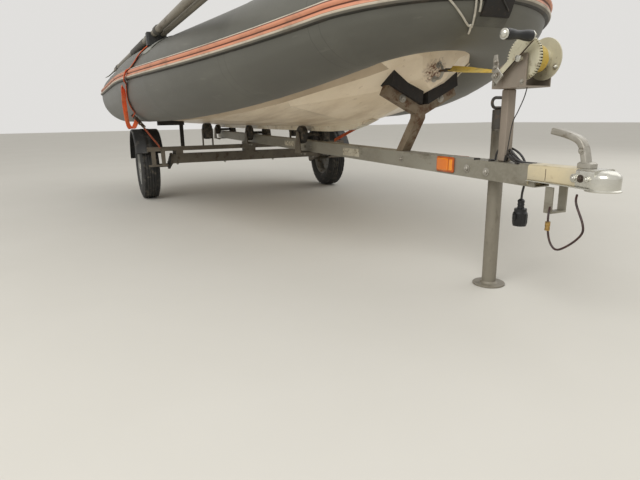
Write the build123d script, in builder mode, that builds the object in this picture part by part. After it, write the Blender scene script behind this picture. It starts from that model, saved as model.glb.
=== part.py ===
from build123d import *
import os
from math import sin, cos, asin, radians, degrees, sqrt

os.makedirs("parts", exist_ok=True)

# A rigid-hulled inflatable boat on its single-axle road trailer, parked on the prop stand.
# X points to the bow, Y to port, Z up; the origin is on the ground under the middle of the box.

# Overall places, measured ahead of the wheel axle
stern_overhang = 1040.0      # blunt tube ends behind the axle
coupling_reach = 3240.0      # front of the coupling head ahead of the axle
axle_x = (stern_overhang - coupling_reach) / 2
transom_back = 760.0         # aft face of the transom, behind the axle

# Buoyancy tube
tube_r = 213.5               # radius of the tube along the sides
bow_tube_r = 169.4           # radius at the nose
tube_z = 789.7               # height of the tube's middle along the sides
bow_rise = 175.8             # sheer: how much higher the middle runs at the nose
rise_power = 3.3
tube_nose = 2637.8           # middle of the tube at the nose, ahead of the axle
nose_bend_r = 324.2          # plan radius of the tube's middle line round the nose
side_bend_r = 5175.0         # plan radius along the sides
toe_angle = 1.0              # the tubes close in by this much along the straight
shoulder_angle = 24.43       # heading where the side bend passes into the nose bend
tail_length = 90.0           # rounded stern end of each tube
tail_shoulder = 50.0         # half way along it
tail_shoulder_r = 190.0
tail_end_r = 120.0

# Rubbing strake round the tube
strake_height = 56.0
strake_lift = 45.0           # along the sides its middle lies this much above the tube's middle
strake_drop = 67.0           # and it comes down by this much to the nose
strake_thick = 14.0
strake_base = 8.0            # thickness between and beside its two ribs
strake_bite = 4.0            # how far its blank reaches into the tube before it is cut back

# Hull
hull_z = 535.0               # middle of the hull's bottom over the rollers
keel_z = 512.0               # underside of the keel bar
keel_bar_width = 36.0
deck_z = 640.0               # cockpit floor
deck_thick = 8.0
transom_thick = 45.0
transom_top = 960.0

# Drawbar
bar_size = 60.0
bar_wall = 3.0
bar_z = 443.0                # middle of the bar over the axle
bar_fall = 0.0118            # the bar falls this much for each unit forward
bar_back = 700.0             # rear end of the bar behind the axle
bar_front = 3010.0           # front end ahead of the axle

# Axle and wheels
wheel_r = 243.0
tyre_width = 145.0
track = 1537.0
rim_r = 137.0
rim_width = 104.0
hub_bore_r = 14.0
beam_size = 70.0
beam_wall = 4.0
beam_ahead = 150.0           # axle beam ahead of the wheel centre
beam_low = 268.0             # underside of the axle beam
beam_half = 600.0
arm_thick = 16.0

# Front cross member with the mudguard stays
rail_ahead = 270.0
rail_size = 30.0
rail_z = 382.0
rail_half = 790.0
guard_gap = 32.0             # between tyre and mudguard
guard_thick = 4.0
guard_width = 190.0
guard_lip = 14.0             # lip turned down along the outer edge
guard_front = 24.0           # front end of the mudguard, degrees up from ahead
guard_sweep = 146.0

# Keel and side rollers
pin_r = 7.0
pin_gap = 0.1
seat_gap = 0.3               # running gap between a roller and the hull
twin_y = 66.0                # middle of each wheel of a twin roller
twin_width = 40.0
bracket_y = 96.0
bracket_thick = 6.0
bracket_half = 45.0          # half the length of a bracket's foot
bracket_ear = 18.0
sleeve_wall = 3.0            # sleeve that joins the two wheels of a twin roller
# ahead of the axle, wheel radius
twin_rollers = {"front": (1400.0, 49.0), "middle": (400.0, 55.0), "rear": (-560.0, 42.0)}
side_roller_r = 58.0
side_roller_width = 60.0
side_roller_y = 350.0

# Winch post, winch and bow cradle
post_size = 40.0
post_ahead = 2850.0
post_top = 658.0
cradle_foot = 2306.0
cradle_ahead = 2400.0
gear_r = 60.0
gear_thick = 7.0
drum_r = 26.0
flange_r = 58.0
flange_thick = 4.0
gear_ahead = 2953.0
gear_z = 735.0
gear_teeth = 48
pinion_teeth = 16
tooth_height = 5.0
tooth_width = 4.0
wound_r = 38.0
strap_width = 46.0
pinion_ahead = 2884.0
pinion_r = 20.0
pinion_z = 693.0
crank_len = 150.0
grip_len = 118.0
grip_r = 15.0

# Prop stand and coupling
stand_ahead = 2770.0
stand_r = 24.0
stand_wall = 3.0
stand_top = 600.0
foot_r = 55.0
foot_thick = 6.0
stand_gap = 0.5
head_r = 40.0
ball_r = 26.0


def fwd(ahead):
    """Place along the boat from a distance ahead of the axle."""
    return axle_x + ahead


def bar_mid(ahead):
    """Height of the drawbar's middle at a distance ahead of the axle."""
    return bar_z - bar_fall * ahead


def bar_top(ahead):
    return bar_mid(ahead) + bar_size / 2


def bar_under(ahead):
    return bar_mid(ahead) - bar_size / 2


def box_between(x0, x1, y0, y1, z0, z1, mode=Mode.ADD):
    """A block between two corners, x measured ahead of the axle."""
    with Locations((fwd((x0 + x1) / 2), (y0 + y1) / 2, (z0 + z1) / 2)):
        Box(abs(x1 - x0), abs(y1 - y0), abs(z1 - z0), mode=mode)


def save(part, name):
    part.label = name
    export_step(part, "parts/" + name + ".step")


# Middle line of the tube: a toed-in straight, a side bend and a nose bend
bend_x = tube_nose - nose_bend_r
shoulder_x = bend_x + nose_bend_r * sin(radians(shoulder_angle))
shoulder_y = nose_bend_r * cos(radians(shoulder_angle))
start_x = shoulder_x - side_bend_r * (sin(radians(shoulder_angle)) - sin(radians(toe_angle)))
start_y = shoulder_y + side_bend_r * (cos(radians(toe_angle)) - cos(radians(shoulder_angle)))


def tube_point(heading):
    """Plan place of the middle line where it heads inward by an angle, on the port side."""
    a = radians(heading)
    if heading <= shoulder_angle:
        x = shoulder_x - side_bend_r * (sin(radians(shoulder_angle)) - sin(a))
        y = shoulder_y + side_bend_r * (cos(a) - cos(radians(shoulder_angle)))
        return x, y
    return bend_x + nose_bend_r * sin(a), nose_bend_r * cos(a)


def bow_share(ahead):
    """0 where the side bend starts, 1 at the nose."""
    return max(0.0, (ahead - start_x) / (tube_nose - start_x))


def tube_height(ahead):
    return tube_z + bow_rise * bow_share(ahead) ** rise_power


def tube_radius(ahead):
    return tube_r + (bow_tube_r - tube_r) * bow_share(ahead) ** 2


def strake_middle(ahead):
    """Height of the strake's middle above the tube's middle."""
    return strake_lift - strake_drop * bow_share(ahead) ** 2


def straight_y(ahead):
    """Half-width of the middle line along the toed-in straight."""
    return start_y + (start_x - ahead) * sin(radians(toe_angle)) / cos(radians(toe_angle))


def heading_at(ahead):
    """Heading of the middle line at a distance ahead of the axle, in degrees."""
    if ahead <= start_x:
        return toe_angle
    if ahead <= shoulder_x:
        return degrees(asin(sin(radians(shoulder_angle)) - (shoulder_x - ahead) / side_bend_r))
    return degrees(asin(min(1.0, (ahead - bend_x) / nose_bend_r)))


def tube_plane(heading, ahead=None):
    """Section plane across the port tube; x is outboard, y is up."""
    a = radians(heading)
    x, y = tube_point(heading)
    if ahead is not None:
        x, y = ahead, straight_y(ahead)
    return Plane(origin=(fwd(x), y, tube_height(x)), x_dir=(sin(a), cos(a), 0), z_dir=(cos(a), -sin(a), 0)), x


tail_start = -stern_overhang + tail_length
side_bend = (toe_angle, 5.0, 10.0, 16.0)
shoulder_bend = (16.0, 20.0, shoulder_angle)
nose_bend = (shoulder_angle, 45.0, 67.0, 90.0)


def tube_length(headings, skin=0.0):
    """A bent length of the port tube, made thicker by a skin where one is given."""
    with BuildPart() as length:
        for heading in headings:
            plane, x = tube_plane(heading)
            with BuildSketch(plane):
                Circle(tube_radius(x) + skin)
        loft()
    return length.part


# Port side tube with its rounded tail
with BuildPart() as tube_port:
    for ahead in (tail_start, start_x):
        plane, _ = tube_plane(toe_angle, ahead)
        with BuildSketch(plane):
            Circle(tube_r)
    loft()
    add(tube_length(side_bend))
    plane, _ = tube_plane(toe_angle, tail_start)
    for behind, r in ((0.0, tube_r), (tail_shoulder, tail_shoulder_r), (tail_length, tail_end_r)):
        with BuildSketch(plane.offset(-behind)):
            Circle(r)
    loft()
save(tube_port.part, "tube_port")

with BuildPart() as tube_stb:
    mirror(tube_port.part, about=Plane.XZ)
save(tube_stb.part, "tube_starboard")

# Bow tube: the port half is mirrored to starboard
with BuildPart() as tube_bow:
    for bend in (shoulder_bend, nose_bend):
        add(tube_length(bend))
    mirror(about=Plane.XZ)
save(tube_bow.part, "tube_bow")

# Rubbing strake: a band with two ribs on the tube's outer side, cut back to the tube's skin
stern_planes = [tube_plane(toe_angle, ahead) for ahead in (tail_start, start_x)]
bend_planes = [[tube_plane(heading) for heading in bend] for bend in (side_bend, shoulder_bend, nose_bend)]
with BuildPart() as strake:
    for planes in (stern_planes, *bend_planes):
        for plane, x in planes:
            r, middle, half = tube_radius(x), strake_middle(x), strake_height / 2
            inner = sqrt(r ** 2 - (half + abs(middle)) ** 2) - strake_bite
            # out from the tube's middle, up from the strake's middle
            profile = [(inner, -half), (r + strake_base, -half), (r + strake_thick, -half / 2), (r + strake_base, 0),
                       (r + strake_thick, half / 2), (r + strake_base, half), (inner, half)]
            with BuildSketch(plane):
                with BuildLine():
                    Polyline(*[(out, up + middle) for out, up in profile], close=True)
                make_face()
        loft()
    add(tube_port.part, mode=Mode.SUBTRACT)
    add(tube_bow.part, mode=Mode.SUBTRACT)
    mirror(about=Plane.XZ)
save(strake.part, "rubbing_strake")

# Hull sections: ahead of the axle, keel height, inner rail half-width and height,
# chine half-width and height, and how far inboard of the tube's lowest line the edge meets it, in degrees
hull_sections = [
    (-transom_back, hull_z, 338.0, 559.0, 640.0, 581.0, 25.0),
    (700.0, hull_z, 330.0, 560.0, 606.0, 581.0, 25.0),
    (1250.0, hull_z, 318.0, 567.0, 545.0, 590.0, 27.0),
    (1600.0, hull_z, 300.0, 583.0, 470.0, 612.0, 29.0),
    (1900.0, hull_z + 9, 300.0, 625.0, 380.0, 647.0, 32.0),
    (1950.0, hull_z + 15, 352.0, 634.0, 364.0, 655.0, 32.5),
    (2100.0, hull_z + 39, 260.0, 650.0, 320.0, 678.0, 34.0),
    (2230.0, hull_z + 74, 200.0, 664.0, 260.0, 704.0, 35.0),
    (2350.0, hull_z + 108, 140.0, 678.0, 200.0, 729.0, 37.0),
    (2450.0, hull_z + 136, 80.0, 706.0, 150.0, 755.0, 38.0),
]
# The blunt nose leans forward; half-width and height of its corners, from the keel to the edge
nose_foot = 2474.0           # the foot of the nose facet ahead of the axle
nose_lean = 26.7             # how far it leans forward from upright, in degrees
nose_corners = [(0.0, 678.0), (53.0, 716.0), (79.0, 784.0), (121.0, 802.0), (121.0, 826.0)]
hull_side = 16.0             # side of the hull moulding above its edge, hidden by the tube


def hull_edge(ahead, inboard):
    """Half-width and height of the line where the hull meets the tube."""
    heading = heading_at(ahead)
    _, y = tube_point(heading)
    if ahead <= start_x:
        y = straight_y(ahead)
    r = tube_radius(ahead)
    return y - r * sin(radians(inboard)) * cos(radians(heading)), tube_height(ahead) - r * cos(radians(inboard))


def hull_under(ahead, y):
    """Height of the hull's underside between the keel and the inner rail."""
    for first, last in zip(hull_sections, hull_sections[1:]):
        if first[0] <= ahead <= last[0]:
            t = (ahead - first[0]) / (last[0] - first[0])
            keel, rail_y, rail_height = (p + t * (q - p) for p, q in zip(first[1:4], last[1:4]))
            return keel + (rail_height - keel) * abs(y) / rail_y
    return None


def both_sides(half):
    """Closed outline from the points of its port half, which start on the middle plane."""
    return half + [(-y, z) for y, z in reversed(half) if y > 0]


with BuildPart() as hull:
    for ahead, keel, rail_y, rail_height, chine_y, chine_z, inboard in hull_sections:
        edge_y, edge_z = hull_edge(ahead, inboard)
        top = max(deck_z, edge_z + hull_side)
        half = [(0.0, keel), (rail_y, rail_height), (chine_y, chine_z), (edge_y, edge_z), (edge_y, top)]
        with BuildSketch(Plane(origin=(fwd(ahead), 0, 0), x_dir=(0, 1, 0), z_dir=(1, 0, 0))):
            with BuildLine():
                Polyline(*both_sides(half), close=True)
            make_face()
    lean = radians(nose_lean)
    foot_z = nose_corners[0][1]
    with BuildSketch(Plane(origin=(fwd(nose_foot), 0, foot_z), x_dir=(0, 1, 0), z_dir=(cos(lean), 0, -sin(lean)))):
        with BuildLine():
            Polyline(*both_sides([(y, (z - foot_z) / cos(lean)) for y, z in nose_corners]), close=True)
        make_face()
    loft(ruled=True)
    for tube in (tube_port, tube_stb, tube_bow):
        add(tube.part, mode=Mode.SUBTRACT)
save(hull.part, "hull")

# Keel bar under the hull, rising with the stem until it meets the moulding
keel_front = 2090.0
with BuildPart() as keel_bar:
    with BuildSketch(Plane(origin=(0, keel_bar_width / 2, 0), x_dir=(1, 0, 0), z_dir=(0, -1, 0))):
        with BuildLine():
            # ahead of the axle, height of its underside
            under = [(-transom_back, keel_z), (1650.0, keel_z), (1880.0, keel_z + 12), (1990.0, keel_z + 34),
                     (keel_front, hull_under(keel_front, 0))]
            inside = [(1900.0, hull_z + 30), (-transom_back, hull_z + 10)]
            Polyline(*[(fwd(ahead), z) for ahead, z in under + inside], close=True)
        make_face()
    extrude(amount=keel_bar_width)
    add(hull.part, mode=Mode.SUBTRACT)
save(keel_bar.part, "keel_bar")

# Transom between the tubes with an outboard pad
transom_half = 560.0
pad_half = 190.0
with BuildPart() as transom:
    with BuildSketch(Plane(origin=(fwd(-transom_back), 0, 0), x_dir=(0, 1, 0), z_dir=(1, 0, 0))):
        with BuildLine():
            Polyline((-transom_half - 60, deck_z), (-transom_half - 60, transom_top),
                     (-pad_half - 60, transom_top), (-pad_half, transom_top - 70),
                     (pad_half, transom_top - 70), (pad_half + 60, transom_top),
                     (transom_half + 60, transom_top), (transom_half + 60, deck_z), close=True)
        make_face()
    extrude(amount=transom_thick)
    for tube in (tube_port, tube_stb):
        add(tube.part, mode=Mode.SUBTRACT)
save(transom.part, "transom")

# Cockpit floor over the hull moulding
floor_front = 1500.0
floor_half = 560.0
with BuildPart() as floor_panel:
    box_between(-transom_back + transom_thick, floor_front, -floor_half, floor_half, deck_z, deck_z + deck_thick)
    for piece in (tube_port, tube_stb, hull):
        add(piece.part, mode=Mode.SUBTRACT)
save(floor_panel.part, "cockpit_floor")

# Thwart across the tubes
seat_ahead = 350.0
seat_length = 240.0
seat_z = 860.0
seat_thick = 22.0
with BuildPart() as seat:
    box_between(seat_ahead, seat_ahead + seat_length, -700, 700, seat_z, seat_z + seat_thick)
    for tube in (tube_port, tube_stb):
        add(tube.part, mode=Mode.SUBTRACT)
save(seat.part, "thwart")

# Drawbar: a square tube that falls slightly to the front
with BuildPart() as drawbar:
    for size, mode in ((bar_size, Mode.ADD), (bar_size - 2 * bar_wall, Mode.SUBTRACT)):
        with BuildSketch(Plane(origin=(0, size / 2, 0), x_dir=(1, 0, 0), z_dir=(0, -1, 0))):
            with BuildLine():
                half = size / 2
                Polyline((fwd(-bar_back), bar_mid(-bar_back) - half), (fwd(bar_front), bar_mid(bar_front) - half),
                         (fwd(bar_front), bar_mid(bar_front) + half), (fwd(-bar_back), bar_mid(-bar_back) + half),
                         close=True)
            make_face()
        extrude(amount=size, mode=mode)
save(drawbar.part, "drawbar")

# Axle beam with its packer up to the drawbar
beam_top = beam_low + beam_size
with BuildPart() as axle_beam:
    box_between(beam_ahead - beam_size / 2, beam_ahead + beam_size / 2, -beam_half, beam_half, beam_low, beam_top)
    inner = beam_size / 2 - beam_wall
    box_between(beam_ahead - inner, beam_ahead + inner, -beam_half, beam_half,
                beam_low + beam_wall, beam_top - beam_wall, mode=Mode.SUBTRACT)
save(axle_beam.part, "axle_beam")

packer_half = 45.0
rail_under = rail_z - rail_size / 2
with BuildPart() as packers:
    with BuildSketch(Plane(origin=(0, packer_half, 0), x_dir=(1, 0, 0), z_dir=(0, -1, 0))):
        with BuildLine():
            back, front = beam_ahead - beam_size / 2, beam_ahead + beam_size / 2
            Polyline((fwd(back), beam_top), (fwd(front), beam_top), (fwd(front), bar_under(front)),
                     (fwd(back), bar_under(back)), close=True)
        make_face()
    extrude(amount=2 * packer_half)
    for side in (1, -1):
        box_between(back, rail_ahead + rail_size / 2, side * 540, side * 590, beam_top, rail_under)
save(packers.part, "axle_packers")

# Trailing arms with the stub axles, one each side
arm_y = beam_half + arm_thick / 2
wheel_y = track / 2
stub_r = 13.9
with BuildPart() as arms:
    for side in (1, -1):
        with BuildSketch(Plane(origin=(0, side * arm_y + arm_thick / 2, 0), x_dir=(1, 0, 0), z_dir=(0, -1, 0))):
            with Locations((fwd(beam_ahead), beam_low + beam_size / 2)):
                Circle(42)
            with Locations((fwd(0), wheel_r)):
                Circle(30)
            with BuildLine():
                Polyline((fwd(beam_ahead), beam_low + beam_size / 2 + 40), (fwd(0), wheel_r + 28),
                         (fwd(0), wheel_r - 28), (fwd(beam_ahead), beam_low + beam_size / 2 - 40), close=True)
            make_face()
        extrude(amount=arm_thick)
        with BuildSketch(Plane(origin=(fwd(0), side * (beam_half + arm_thick), wheel_r), x_dir=(1, 0, 0),
                               z_dir=(0, side, 0))):
            Circle(stub_r)
        extrude(amount=wheel_y + 20 - beam_half - arm_thick)
save(arms.part, "suspension_arms")

# Wheels: tyre and rim on each side
wheel_sides = (("starboard", -1), ("port", 1))
for side_name, side in wheel_sides:
    wheel_plane = Plane(origin=(fwd(0), side * wheel_y, wheel_r), x_dir=(1, 0, 0), z_dir=(0, side, 0))
    half = tyre_width / 2
    with BuildPart() as tyre:
        with BuildSketch(Plane(origin=(fwd(0), side * wheel_y, wheel_r), x_dir=(1, 0, 0), z_dir=(0, 0, 1))):
            with BuildLine():
                Polyline((rim_r, -rim_width / 2), (wheel_r - 44, -half), (wheel_r, -half + 26), (wheel_r, half - 26),
                         (wheel_r - 44, half), (rim_r, rim_width / 2), close=True)
            make_face()
        revolve(axis=Axis((fwd(0), 0, wheel_r), (0, 1, 0)))
    save(tyre.part, "tyre_" + side_name)
    with BuildPart() as rim:
        with BuildSketch(Plane(origin=(fwd(0), side * wheel_y, wheel_r), x_dir=(1, 0, 0), z_dir=(0, 0, side))):
            # half section, out is away from the boat
            with BuildLine():
                Polyline((rim_r, -52), (rim_r, -46), (rim_r - 14, -40), (rim_r - 14, 38), (rim_r, 46), (rim_r, 52),
                         (rim_r - 20, 48), (rim_r - 24, 20), (70, 8), (44, 22), (44, 40), (30, 52), (hub_bore_r, 52),
                         (hub_bore_r, -60), (36, -60), (40, 0), (70, 2), (rim_r - 24, 10), (rim_r - 22, -40), close=True)
            make_face()
        revolve(axis=Axis((fwd(0), 0, wheel_r), (0, 1, 0)))
    save(rim.part, "wheel_rim_" + side_name)

# Mudguards over the wheels
guard_r = wheel_r + guard_gap
guard_out = guard_r + guard_thick


def guard_band(y, inner_r, depth):
    """A band over the wheel from an inner radius to the mudguard's face, reaching to starboard from y."""
    with BuildPart() as guard:
        with BuildSketch(Plane(origin=(fwd(0), y, wheel_r), x_dir=(1, 0, 0), z_dir=(0, -1, 0))):
            with BuildLine():
                for r in (inner_r, guard_out):
                    CenterArc((0, 0), r, guard_front, guard_sweep)
                for angle in (guard_front, guard_front + guard_sweep):
                    a = radians(angle)
                    Line((inner_r * cos(a), inner_r * sin(a)), (guard_out * cos(a), guard_out * sin(a)))
            make_face()
        extrude(amount=depth)
    return guard.part


with BuildPart() as guards:
    for side in (1, -1):
        add(guard_band(side * wheel_y + guard_width / 2, guard_r, guard_width))
        lip_y = side * (wheel_y + (guard_width - guard_thick) / 2)
        add(guard_band(lip_y + guard_thick / 2, guard_r - guard_lip, guard_thick))
save(guards.part, "mudguards")

# Cross member ahead of the wheels; its end frames hold the mudguards' front ends
stay_low = 272.0
stay_foot = 14.0
stay_width = 28.0
stay_depth = 24.0
stay_middles = (750.0, 682.0)
with BuildPart() as rail:
    box_between(rail_ahead - rail_size / 2, rail_ahead + rail_size / 2, -rail_half, rail_half,
                rail_under, rail_z + rail_size / 2)
    for side in (1, -1):
        for y in stay_middles:
            inner, outer = side * (y - stay_width / 2), side * (y + stay_width / 2)
            back, front = rail_ahead - stay_depth / 2, rail_ahead + stay_depth / 2
            box_between(back, front, inner, outer, stay_low, rail_under)
            box_between(back - 28, back, inner, outer, rail_under - 14, rail_under)
        box_between(back, front, side * 650, side * rail_half, stay_low - stay_foot, stay_low)
    with BuildSketch(Plane(origin=(fwd(0), rail_half, wheel_r), x_dir=(1, 0, 0), z_dir=(0, -1, 0))):
        Circle(guard_out)
    extrude(amount=2 * rail_half, mode=Mode.SUBTRACT)
save(rail.part, "cross_member")

# Twin keel rollers; their pins, and those of the side rollers, belong to the brackets


def pin_height(ahead, wheel_y, r):
    """Height of a roller's pin when the roller touches the hull above it."""
    return hull_under(ahead, wheel_y) - seat_gap - r


for place, (ahead, r) in twin_rollers.items():
    twin_inner = twin_y - twin_width / 2
    pin_z = pin_height(ahead, twin_inner, r)
    with BuildPart() as roller:
        for side in (1, -1):
            with BuildSketch(Plane(origin=(fwd(ahead), side * twin_inner, pin_z), x_dir=(1, 0, 0),
                                   z_dir=(0, side, 0))):
                Circle(r)
                Circle(pin_r + pin_gap, mode=Mode.SUBTRACT)
            extrude(amount=twin_width)
            with BuildSketch(Plane(origin=(fwd(ahead), 0, pin_z), x_dir=(1, 0, 0), z_dir=(0, side, 0))):
                Circle(pin_r + sleeve_wall)
                Circle(pin_r + pin_gap, mode=Mode.SUBTRACT)
            extrude(amount=twin_inner)
    save(roller.part, "keel_roller_" + place)

side_inner = side_roller_y - side_roller_width / 2
side_pin_z = pin_height(rail_ahead, side_inner, side_roller_r)
with BuildPart() as brackets:
    for ahead, r in twin_rollers.values():
        pin_z = pin_height(ahead, twin_y - twin_width / 2, r)
        low = bar_under(ahead + bracket_half) - bracket_thick
        box_between(ahead - bracket_half, ahead + bracket_half, -bracket_y, bracket_y, low, low + bracket_thick)
        for side in (1, -1):
            with BuildSketch(Plane(origin=(0, side * (bracket_y - bracket_thick / 2) + bracket_thick / 2, 0),
                                   x_dir=(1, 0, 0), z_dir=(0, -1, 0))):
                with BuildLine():
                    Polyline((fwd(ahead - bracket_half), low), (fwd(ahead + bracket_half), low),
                             (fwd(ahead + bracket_ear), pin_z), (fwd(ahead - bracket_ear), pin_z), close=True)
                make_face()
                with Locations((fwd(ahead), pin_z)):
                    Circle(bracket_ear)
            extrude(amount=bracket_thick)
        with BuildSketch(Plane(origin=(fwd(ahead), -bracket_y, pin_z), x_dir=(1, 0, 0), z_dir=(0, 1, 0))):
            Circle(pin_r)
        extrude(amount=2 * bracket_y)
    for side in (1, -1):
        for offset in (-1, 1):
            y = side * side_roller_y + offset * (side_roller_width / 2 + bracket_thick)
            box_between(rail_ahead - rail_size / 2, rail_ahead + rail_size / 2, y - bracket_thick / 2,
                        y + bracket_thick / 2, rail_z + rail_size / 2, side_pin_z + bracket_ear)
        pin_length = side_roller_width + 3 * bracket_thick
        with BuildSketch(Plane(origin=(fwd(rail_ahead), side * side_roller_y - pin_length / 2, side_pin_z),
                               x_dir=(1, 0, 0), z_dir=(0, 1, 0))):
            Circle(pin_r)
        extrude(amount=pin_length)
save(brackets.part, "roller_brackets")

# Side rollers over the cross member
for side_name, side in wheel_sides:
    with BuildPart() as roller:
        with BuildSketch(Plane(origin=(fwd(rail_ahead), side * side_roller_y - side_roller_width / 2, side_pin_z),
                               x_dir=(1, 0, 0), z_dir=(0, 1, 0))):
            Circle(side_roller_r)
            Circle(pin_r + pin_gap, mode=Mode.SUBTRACT)
        extrude(amount=side_roller_width)
    save(roller.part, "side_roller_" + side_name)

# Outer supports: a padded rest on a post at each end of the cross member
rest_inner, rest_outer = 520.0, 700.0
rest_low = 548.0
rest_blank = 52.0            # height of the pad's blank before the tube and the hull are cut out of it
rest_post = 24.0
with BuildPart() as rests:
    for side in (1, -1):
        box_between(rail_ahead - rest_post / 2, rail_ahead + rest_post / 2, side * (rest_inner + 5),
                    side * (rest_inner + 5 + rest_post), rail_z + rail_size / 2, rest_low)
        box_between(rail_ahead - 30, rail_ahead + 30, side * rest_inner, side * rest_outer, rest_low,
                    rest_low + rest_blank)
    for piece in (hull, tube_port, tube_stb):
        add(piece.part, mode=Mode.SUBTRACT)
save(rests.part, "tube_rests")

# Bow cradle: leaning post, two arms and pads cut to the hull
cradle_split = 600.0
with BuildPart() as cradle:
    with BuildSketch(Plane(origin=(0, 20, 0), x_dir=(1, 0, 0), z_dir=(0, -1, 0))):
        with BuildLine():
            # ahead of the axle, height
            outline = [(cradle_foot - 22, bar_top(cradle_foot - 22)), (cradle_foot + 22, bar_top(cradle_foot + 22)),
                       (cradle_ahead + 20, cradle_split - 25), (cradle_ahead + 20, cradle_split + 25),
                       (cradle_ahead - 20, cradle_split + 25), (cradle_ahead - 22, cradle_split - 25)]
            Polyline(*[(fwd(ahead), z) for ahead, z in outline], close=True)
        make_face()
    extrude(amount=40)
    with BuildSketch(Plane(origin=(fwd(cradle_ahead - 20), 0, 0), x_dir=(0, 1, 0), z_dir=(1, 0, 0))):
        for side in (1, -1):
            with BuildLine():
                Polyline((0, cradle_split - 20), (side * 165, cradle_split + 62), (side * 150, cradle_split + 96),
                         (0, cradle_split + 20), close=True)
            make_face()
    extrude(amount=40)
save(cradle.part, "bow_cradle")
with BuildPart() as cradle_pads:
    with BuildSketch(Plane(origin=(fwd(cradle_ahead - 45), 0, 0), x_dir=(0, 1, 0), z_dir=(1, 0, 0))):
        for side in (1, -1):
            with BuildLine():
                Polyline((side * 14, cradle_split + 27), (side * 150, cradle_split + 96),
                         (side * 138, cradle_split + 190), (side * 6, cradle_split + 120), close=True)
            make_face()
    extrude(amount=90)
    add(hull.part, mode=Mode.SUBTRACT)
    add(cradle.part, mode=Mode.SUBTRACT)
save(cradle_pads.part, "cradle_pads")

# Winch post and frame
with BuildPart() as post:
    with BuildSketch(Plane(origin=(0, post_size / 2, 0), x_dir=(1, 0, 0), z_dir=(0, -1, 0))):
        with BuildLine():
            back, front = post_ahead - post_size / 2, post_ahead + post_size / 2
            Polyline((fwd(back), bar_top(back)), (fwd(front), bar_top(front)), (fwd(front), post_top),
                     (fwd(back), post_top), close=True)
        make_face()
    extrude(amount=post_size)
save(post.part, "winch_post")

plate_thick = 3.0
plate_stb_y = -58.0          # outer face of the starboard side plate
plate_port_y = 40.0
shaft_r = 6.0
frame_back, frame_front = 2846.0, 2974.0
with BuildPart() as frame:
    box_between(frame_back, frame_front, plate_stb_y, plate_port_y, post_top, post_top + plate_thick)
    for y in (plate_stb_y, plate_port_y - plate_thick):
        with BuildSketch(Plane(origin=(0, y + plate_thick, 0), x_dir=(1, 0, 0), z_dir=(0, -1, 0))):
            with BuildLine():
                Polyline((fwd(frame_back), post_top), (fwd(frame_front), post_top), (fwd(frame_front), gear_z + 12),
                         (fwd(frame_front - 25), gear_z + 16), (fwd(frame_back + 20), pinion_z + 22),
                         (fwd(frame_back), pinion_z + 10), close=True)
            make_face()
            with Locations((fwd(pinion_ahead), pinion_z), (fwd(gear_ahead), gear_z)):
                Circle(shaft_r + pin_gap, mode=Mode.SUBTRACT)
        extrude(amount=plate_thick)
save(frame.part, "winch_frame")

# Winch drum with its large gear and wound webbing
drum_stb_y = plate_stb_y + plate_thick + 4
drum_port_y = plate_port_y - plate_thick - 4
winch_plane = Plane(origin=(fwd(gear_ahead), drum_stb_y, gear_z), x_dir=(1, 0, 0), z_dir=(0, 1, 0))
with BuildPart() as drum:
    with BuildSketch(winch_plane):
        Circle(gear_r - tooth_height)
        with PolarLocations(gear_r - tooth_height, gear_teeth):
            Rectangle(2 * tooth_height, tooth_width)
    extrude(amount=gear_thick)
    with BuildSketch(winch_plane):
        Circle(drum_r)
    extrude(amount=drum_port_y - drum_stb_y)
    with BuildSketch(winch_plane.offset(drum_port_y - drum_stb_y - flange_thick)):
        Circle(flange_r)
    extrude(amount=flange_thick)
    with BuildSketch(winch_plane.offset(-(drum_stb_y - plate_stb_y) - 6)):
        Circle(shaft_r)
    extrude(amount=plate_port_y - plate_stb_y + 14)
save(drum.part, "winch_drum")
with BuildPart() as wound:
    with BuildSketch(winch_plane.offset(gear_thick + 2)):
        Circle(wound_r)
        Circle(drum_r, mode=Mode.SUBTRACT)
    extrude(amount=strap_width + 4)
save(wound.part, "wound_webbing")

# Crank on the pinion shaft, with its grip pointing to starboard
crank_angle = radians(38.0)
arm_y_out = plate_stb_y - 12
end_x = pinion_ahead + crank_len * cos(crank_angle)
end_z = pinion_z + crank_len * sin(crank_angle)
with BuildPart() as crank:
    with BuildSketch(Plane(origin=(fwd(pinion_ahead), arm_y_out, pinion_z), x_dir=(1, 0, 0), z_dir=(0, 1, 0))):
        Circle(shaft_r)
    extrude(amount=drum_stb_y + gear_thick - arm_y_out)
    with BuildSketch(Plane(origin=(fwd(pinion_ahead), drum_stb_y, pinion_z), x_dir=(1, 0, 0), z_dir=(0, 1, 0))):
        Circle(pinion_r - tooth_height)
        with PolarLocations(pinion_r - tooth_height, pinion_teeth):
            Rectangle(2 * tooth_height, tooth_width)
    extrude(amount=gear_thick)
    with BuildSketch(Plane(origin=(fwd((pinion_ahead + end_x) / 2), arm_y_out, (pinion_z + end_z) / 2),
                           x_dir=(cos(crank_angle), 0, sin(crank_angle)), z_dir=(0, -1, 0))):
        SlotCenterToCenter(crank_len, 22)
    extrude(amount=6)
    with BuildSketch(Plane(origin=(fwd(end_x), arm_y_out - 6, end_z), x_dir=(1, 0, 0), z_dir=(0, -1, 0))):
        Circle(shaft_r)
    extrude(amount=grip_len + 4)
save(crank.part, "winch_crank")
with BuildPart() as grip:
    with BuildSketch(Plane(origin=(fwd(end_x), arm_y_out - 8, end_z), x_dir=(1, 0, 0), z_dir=(0, -1, 0))):
        Circle(grip_r)
        Circle(shaft_r, mode=Mode.SUBTRACT)
    extrude(amount=grip_len)
save(grip.part, "crank_grip")

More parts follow.
